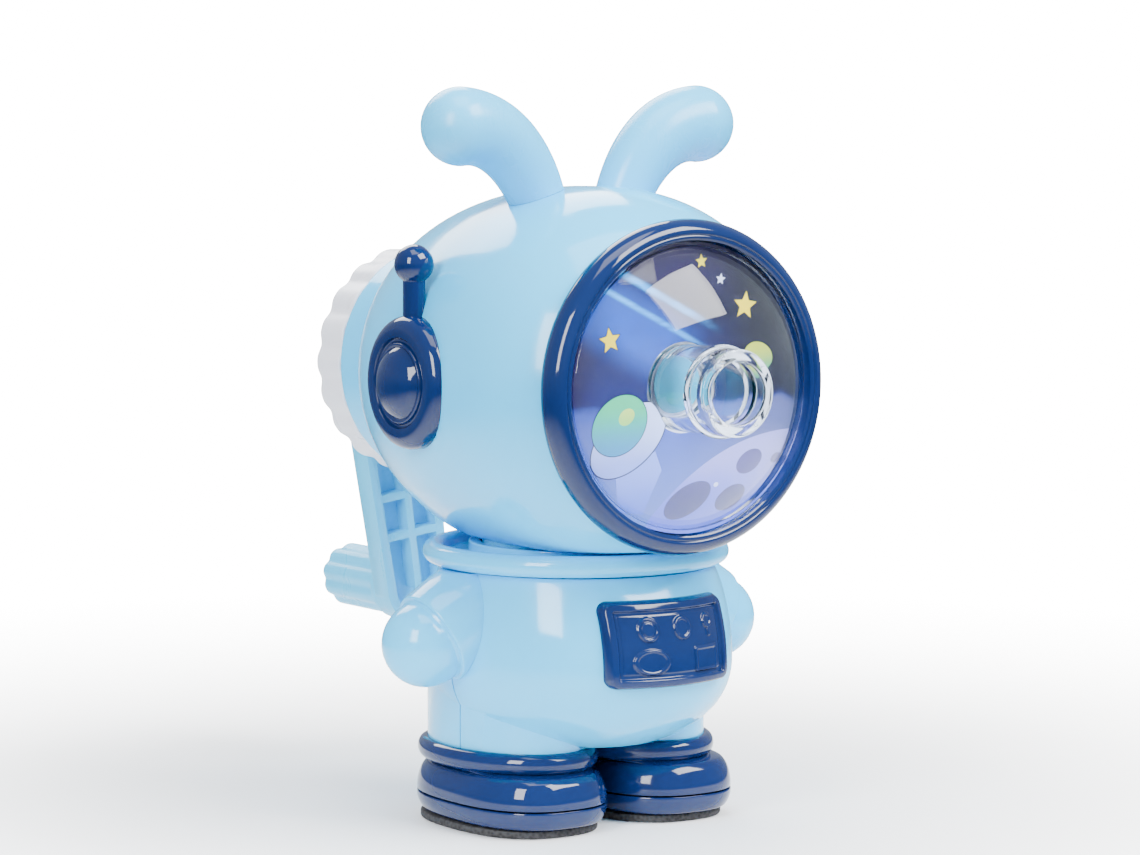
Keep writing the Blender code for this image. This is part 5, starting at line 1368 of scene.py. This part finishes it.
def build_arm(name, node, side):
    shoulder, hand = Vector((15.0, 1.0, 40.0)), Vector((30.3, 1.0, 32.3))
    along = hand - shoulder
    length = along.length
    wrist = length - 1.4
    profile = [(0.0, 0.0), (8.9, 0.0)]
    for index in range(1, 12):
        share = index / 12.0
        profile.append((8.9 - 0.2 * share - 0.4 * share ** 2 + 0.35 * math.sin(math.pi * share),
                        wrist * share))
    profile += rounded([(8.45, wrist * 0.93), (8.3, wrist, 0.5), (7.62, wrist + 0.02, 0.12),
                        (HAND, wrist + 0.5)], closed=False, count=5)[:-1]
    start = math.degrees(math.asin((wrist + 0.5 - length) / HAND))
    profile += arc((0.0, length), (HAND, HAND), start, 90.0, 30)[:-1] + [(0.0, length + HAND)]
    arm = lathe(name, profile, 96)
    tilt = math.degrees(math.atan2(along.x, along.z))
    moved(arm, move(side * shoulder.x, shoulder.y, shoulder.z) @ turn(side * tilt, "Y"))
    cut(arm, torso_solid(name + "_seat", -0.06, NECK_TOP))
    cut(arm, block("under_neck", (-60.0, -30.0, NECK_BOTTOM - GAP), (60.0, 30.0, 2.0 * NECK_TOP)))
    finished(cleaned(arm, name + "_sleeve", 36.0), SHELL, "torso", node, BODY)


# ---------------------------------------------------------------- belly panel
PANEL_HALF_WIDTH, PANEL_HALF_HEIGHT = 12.3, 7.25
PANEL_HEIGHT = 33.5
PANEL_CORNER = 1.9
PANEL_THICKNESS = 1.2
FIELD_THICKNESS = 0.72


def smooth_step(low, high, value):
    share = min(max((value - low) / (high - low), 0.0), 1.0)
    return share * share * (3.0 - 2.0 * share)


def oval_distance(u, v, x, z, half_x, half_z):
    """Rough distance from an oval's outline, below zero inside."""
    reach = math.hypot((u - x) / half_x, (v - z) / half_z)
    return (reach - 1.0) * min(half_x, half_z)


def box_distance(u, v, x, z, half_x, half_z, corner):
    dx, dz = abs(u - x) - half_x + corner, abs(v - z) - half_z + corner
    return math.hypot(max(dx, 0.0), max(dz, 0.0)) + min(max(dx, dz), 0.0) - corner


def raised(distance, width, soft=0.14):
    """1 on a band of a given half width about zero distance, fading to 0."""
    return 1.0 - smooth_step(width - soft / 2.0, width + soft / 2.0, abs(distance))


def plateau(distance, soft=0.16):
    return 1.0 - smooth_step(-soft, 0.0, distance)


def panel_relief(u, v):
    """Thickness of the panel: a rounded rim, a sunk field, and the raised dials and keys."""
    edge = box_distance(u, v, 0.0, 0.0, PANEL_HALF_WIDTH, PANEL_HALF_HEIGHT, PANEL_CORNER)
    outer = smooth_step(0.0, 0.55, -edge)
    inner = smooth_step(1.35, 1.95, -edge)
    height = 0.35 + (PANEL_THICKNESS - 0.35) * math.sqrt(outer) - (PANEL_THICKNESS - FIELD_THICKNESS) * inner
    groove = raised(edge + 2.3, 0.10, 0.18)
    height -= 0.10 * groove
    marks = 0.0
    ring = oval_distance(u, v, -5.3, 2.6, 1.95, 2.05)
    marks = max(marks, 0.34 * plateau(ring) - 0.22 * plateau(ring + 0.42) + 0.16 * plateau(ring + 0.75))
    ring = oval_distance(u, v, 1.3, 2.55, 1.85, 1.95)
    marks = max(marks, 0.34 * plateau(ring) - 0.16 * plateau(ring + 0.5))
    drop = oval_distance(u, v, 7.2, 3.25, 1.25, 1.3)
    tail = box_distance(u, v, 7.35, 1.6, 0.42, 1.0, 0.4)
    marks = max(marks, 0.32 * plateau(min(drop, tail)) - 0.16 * plateau(drop + 0.45))
    screen = oval_distance(u, v, -5.1, -2.8, 3.35, 2.2)
    marks = max(marks, 0.32 * plateau(screen) - 0.14 * plateau(screen + 0.45))
    key = box_distance(u, v, 6.2, -2.9, 2.75, 2.1, 0.3)
    marks = max(marks, 0.32 * plateau(key) - 0.12 * plateau(key + 0.4))
    return height + marks


def panel_spot(s, t):
    """A square's point laid on the panel's rounded rectangle."""
    x, z = s * PANEL_HALF_WIDTH, t * PANEL_HALF_HEIGHT
    dx = abs(x) - (PANEL_HALF_WIDTH - PANEL_CORNER)
    dz = abs(z) - (PANEL_HALF_HEIGHT - PANEL_CORNER)
    if dx > 0.0 and dz > 0.0:
        far = math.hypot(dx, dz)
        scale = max(dx, dz) / far
        x = math.copysign(PANEL_HALF_WIDTH - PANEL_CORNER + dx * scale, x)
        z = math.copysign(PANEL_HALF_HEIGHT - PANEL_CORNER + dz * scale, z)
    return x, z


def belly_face(x, z, out):
    radius = torso_radius(z, -out)
    return -math.sqrt(max(radius ** 2 - x ** 2, 0.0)) * belly_factor(z)


def build_belly_panel():
    columns, rows = 208, 124
    points, faces = [], []
    spots = [[panel_spot(2.0 * i / columns - 1.0, 2.0 * j / rows - 1.0) for i in range(columns + 1)]
             for j in range(rows + 1)]
    for back in (False, True):
        for line in spots:
            for x, z in line:
                out = 0.06 if back else GAP + panel_relief(x, z)
                points.append((x, belly_face(x, PANEL_HEIGHT + z, out), PANEL_HEIGHT + z))
    layer = (columns + 1) * (rows + 1)
    for back in (0, 1):
        for j in range(rows):
            for i in range(columns):
                a = back * layer + j * (columns + 1) + i
                faces.append((a, a + 1, a + columns + 2, a + columns + 1))
    border = list(range(columns + 1))
    border += [j * (columns + 1) + columns for j in range(1, rows + 1)]
    border += [rows * (columns + 1) + i for i in range(columns - 1, -1, -1)]
    border += [j * (columns + 1) for j in range(rows - 1, 0, -1)]
    for here, after in zip(border, border[1:] + border[:1]):
        faces.append((here, after, layer + after, layer + here))
    panel = mesh_object("control_panel", points, faces, 60.0)
    finished(panel, NAVY, "torso", "belly_panel", BODY)


# ---------------------------------------------------------------- shoes
SHOE_X, SHOE_Y = 13.2, 0.5
SHOE_HALF_WIDTH, SHOE_HALF_DEPTH, SHOE_POWER = 13.0, 19.3, 2.5
SHOE_WELT, SHOE_TOP, SHOE_SHOULDER = 4.9, 14.0, 10.2
AROUND = 144


def shoe_section(half_x, half_y, power, centre, z, side):
    points = []
    for x, y in superellipse(half_x, half_y, power, AROUND):
        points.append((side * max(side * (centre[0] + x), GAP / 2.0), centre[1] + y, z))
    return points


def build_shoe(name, node, side):
    centre, leg = (side * SHOE_X, SHOE_Y), (side * LEG_X, LEG_Y)
    bottom = SHOE_WELT + GAP / 2.0
    swell = SHOE_SHOULDER - bottom
    sections = []
    for inward, z in ((0.2, bottom), (0.05, bottom + 0.03), (0.0, bottom + 0.1)):
        sections.append(shoe_section(SHOE_HALF_WIDTH - inward, SHOE_HALF_DEPTH - inward, SHOE_POWER, centre,
                                     z, side))
    for index in range(1, 15):
        angle = math.radians(6.0 + 80.0 * index / 14.0)
        inward = 2.3 * (1.0 - math.cos(angle))
        sections.append(shoe_section(SHOE_HALF_WIDTH - inward, SHOE_HALF_DEPTH - inward, SHOE_POWER, centre,
                                     bottom + 0.1 + (swell - 0.1) * math.sin(angle), side))
    middle, half_cuff = (SHOE_SHOULDER + SHOE_TOP) / 2.0 + 0.1, (SHOE_TOP - SHOE_SHOULDER) / 2.0 - 0.1
    for index in range(17):
        angle = math.radians(-66.0 + 154.0 * index / 16.0)
        reach = 1.5 * math.cos(angle) - 0.02
        sections.append(shoe_section(LEG_HALF_WIDTH + GAP + reach, LEG_HALF_DEPTH + GAP + reach, 2.0, leg,
                                     middle + half_cuff * math.sin(angle), side))
    upper = loft(name, sections)
    socket = leg_solid(name + "_socket", side, -0.06, LEG_BOTTOM - GAP, SHOE_TOP + WALL)
    cut(upper, socket)
    hollow = loft(name + "_hollow", [
        shoe_section(SHOE_HALF_WIDTH - WALL, SHOE_HALF_DEPTH - WALL, SHOE_POWER, centre, bottom - WALL,
                     side),
        shoe_section(SHOE_HALF_WIDTH - 2.0 * WALL, SHOE_HALF_DEPTH - 2.0 * WALL, SHOE_POWER, centre,
                     LEG_BOTTOM - GAP - WALL, side)])
    for vertex in hollow.data.vertices:
        vertex.co.x = side * max(side * vertex.co.x, WALL)
    cut(upper, hollow)
    finished(cleaned(upper, name + "_upper", 40.0), NAVY, "torso", node, BODY)


def build_shoe_base(name, node, side):
    centre = (side * SHOE_X, SHOE_Y)
    low, top = 1.6, SHOE_WELT - GAP / 2.0
    height = top - low
    sections = []
    rows = [(0.0, 1.45), (0.03, 1.15), (0.10, 0.85)]
    rows += [(0.10 + 0.78 * index / 10.0, 0.85 * (1.0 - index / 10.0) ** 2) for index in range(1, 11)]
    rows += [(0.965, 0.0), (0.99, 0.05), (1.0, 0.2)]
    for share, inward in rows:
        sections.append(shoe_section(SHOE_HALF_WIDTH - inward, SHOE_HALF_DEPTH - inward, SHOE_POWER, centre,
                                     low + height * share, side))
    finished(loft(name + "_welt", sections), NAVY, "torso", node, BODY)


def build_sole(name, node, side):
    centre = (side * 13.1, 1.5)
    sections = []
    for inward, z in ((0.4, 0.0), (0.12, 0.08), (0.0, 0.3), (0.0, 1.0), (0.08, 1.22), (0.3, 1.3)):
        sections.append(shoe_section(12.2 - inward, 17.9 - inward, SHOE_POWER, centre, z, side))
    finished(loft(name + "_pad", sections), FOAM, "torso", node, BODY)


# ---------------------------------------------------------------- making
build_head_shell()
build_rear_collar()
build_visor_ring()
build_visor_dome()
build_star_card()
build_pencil_guide()
build_grip_cap()
build_cutter_cage()
build_gears()
build_bush()
build_carrier()
build_cutter()
build_crank_arm()
build_hub_screw()
build_knob()
build_torso()
build_neck_ring()
build_belly_panel()
for label, direction in (("left", -1), ("right", 1)):
    build_ear("long_ear_" + label, "ear_" + label, direction)
    build_headphone("ear_cup_" + label, "headphone_" + label, direction)
    build_arm("short_arm_" + label, "arm_" + label, direction)
    build_shoe("boot_" + label, "shoe_" + label, direction)
    build_shoe_base("boot_" + label, "shoe_base_" + label, direction)
    build_sole("foam_" + label, "sole_" + label, direction)


# ---------------------------------------------------------------- stage, light and camera
def make_floor():
    """A pale table that fades into the white surroundings."""
    nodes = Nodes("pale_table")
    nodes.colour(nodes.mix(nodes.spread(nodes.noise(3.0, 4.0), 0.0, 1.0, 0.3, 0.7),
                           (0.95, 0.95, 0.955, 1.0),
                           (0.97, 0.97, 0.97, 1.0)))
    nodes.rough(nodes.spread(nodes.noise(40.0, 3.0), 0.5, 0.62, 0.3, 0.7))
    distance = nodes.add("ShaderNodeVectorMath", operation="LENGTH")
    nodes.join(nodes.place, distance.inputs[0])
    gone = nodes.spread(distance.outputs["Value"], 0.0, 1.0, 0.045, 0.34, smooth=True)
    nothing = nodes.add("ShaderNodeBsdfTransparent")
    both = nodes.add("ShaderNodeMixShader")
    nodes.join(gone, both.inputs[0])
    nodes.join(nodes.shader.outputs["BSDF"], both.inputs[1])
    nodes.join(nothing.outputs["BSDF"], both.inputs[2])
    nodes.join(both.outputs["Shader"], nodes.output.inputs["Surface"])
    size = 1.1
    floor = mesh_object("table", [(-size, -size, 0.0), (size, -size, 0.0), (size, size, 0.0),
                                  (-size, size, 0.0)],
                        [(0, 1, 2, 3)])
    if floor.data.polygons[0].normal.z < 0.0:
        floor.data.flip_normals()
    floor.data.materials.append(nodes.material)


def add_lamp(name, azimuth, elevation, distance, width, height, power, colour=(1.0, 1.0, 1.0)):
    """A soft box that faces the middle of the object. Azimuth 0 is in front, 90 at +X."""
    aim = Vector((0.0, -0.01, 0.07))
    flat, lift = math.radians(azimuth), math.radians(elevation)
    way = Vector((math.sin(flat) * math.cos(lift), -math.cos(flat) * math.cos(lift), math.sin(lift)))
    light = bpy.data.lights.new(name, "AREA")
    light.shape = "RECTANGLE"
    light.size, light.size_y = width, height
    light.energy = power
    light.color = colour
    lamp = bpy.data.objects.new(name, light)
    lamp.location = aim + way * distance
    lamp.rotation_euler = way.to_track_quat("Z", "Y").to_euler()
    bpy.context.scene.collection.objects.link(lamp)


def make_surroundings(seen, light):
    """White where it is looked at, and dimmer where it lights and reflects."""
    world = bpy.data.worlds.new("studio")
    bpy.context.scene.world = world
    world.use_nodes = True
    tree = world.node_tree
    tree.nodes.clear()
    output = tree.nodes.new("ShaderNodeOutputWorld")
    lit = tree.nodes.new("ShaderNodeBackground")
    view = tree.nodes.new("ShaderNodeTexCoord")
    height = tree.nodes.new("ShaderNodeSeparateXYZ")
    shade = tree.nodes.new("ShaderNodeValToRGB")
    shade.color_ramp.elements[0].position = 0.44
    shade.color_ramp.elements[0].color = (0.30, 0.38, 0.50, 1.0)
    shade.color_ramp.elements[1].position = 0.56
    shade.color_ramp.elements[1].color = (0.80, 0.90, 1.0, 1.0)
    raised_by = tree.nodes.new("ShaderNodeMath")
    raised_by.operation = "MULTIPLY_ADD"
    raised_by.inputs[1].default_value = 0.5
    raised_by.inputs[2].default_value = 0.5
    tree.links.new(view.outputs["Generated"], height.inputs[0])
    tree.links.new(height.outputs["Z"], raised_by.inputs[0])
    tree.links.new(raised_by.outputs[0], shade.inputs["Fac"])
    tree.links.new(shade.outputs["Color"], lit.inputs["Color"])
    lit.inputs["Strength"].default_value = light
    plain = tree.nodes.new("ShaderNodeBackground")
    plain.inputs["Color"].default_value = (1.0, 1.0, 1.0, 1.0)
    plain.inputs["Strength"].default_value = seen
    path = tree.nodes.new("ShaderNodeLightPath")
    both = tree.nodes.new("ShaderNodeMixShader")
    tree.links.new(path.outputs["Is Camera Ray"], both.inputs[0])
    tree.links.new(lit.outputs[0], both.inputs[1])
    tree.links.new(plain.outputs[0], both.inputs[2])
    tree.links.new(both.outputs[0], output.inputs["Surface"])


make_floor()
make_surroundings(18.0, 0.72)
add_lamp("window_light", 28.0, 45.0, 0.95, 0.62, 0.46, 24.0)
add_lamp("left_light", -64.0, 24.0, 1.0, 0.30, 0.55, 13.0)
add_lamp("top_light", -20.0, 78.0, 1.0, 0.6, 0.6, 7.0)
add_lamp("back_light", 165.0, 38.0, 1.0, 0.7, 0.5, 11.0)

camera_data = bpy.data.cameras.new("camera")
camera_data.lens = 126.8
camera_data.sensor_width = 36.0
camera_data.clip_start = 0.01
camera = bpy.data.objects.new("camera", camera_data)
camera.location = (-0.39307, -0.58590, 0.13049)
CAMERA_AZIMUTH, CAMERA_PITCH = math.radians(-34.689), math.radians(5.2235)
back = Vector((math.sin(CAMERA_AZIMUTH) * math.cos(CAMERA_PITCH),
               -math.cos(CAMERA_AZIMUTH) * math.cos(CAMERA_PITCH),
               math.sin(CAMERA_PITCH)))
camera.rotation_euler = back.to_track_quat("Z", "Y").to_euler()
bpy.context.scene.collection.objects.link(camera)
bpy.context.scene.camera = camera
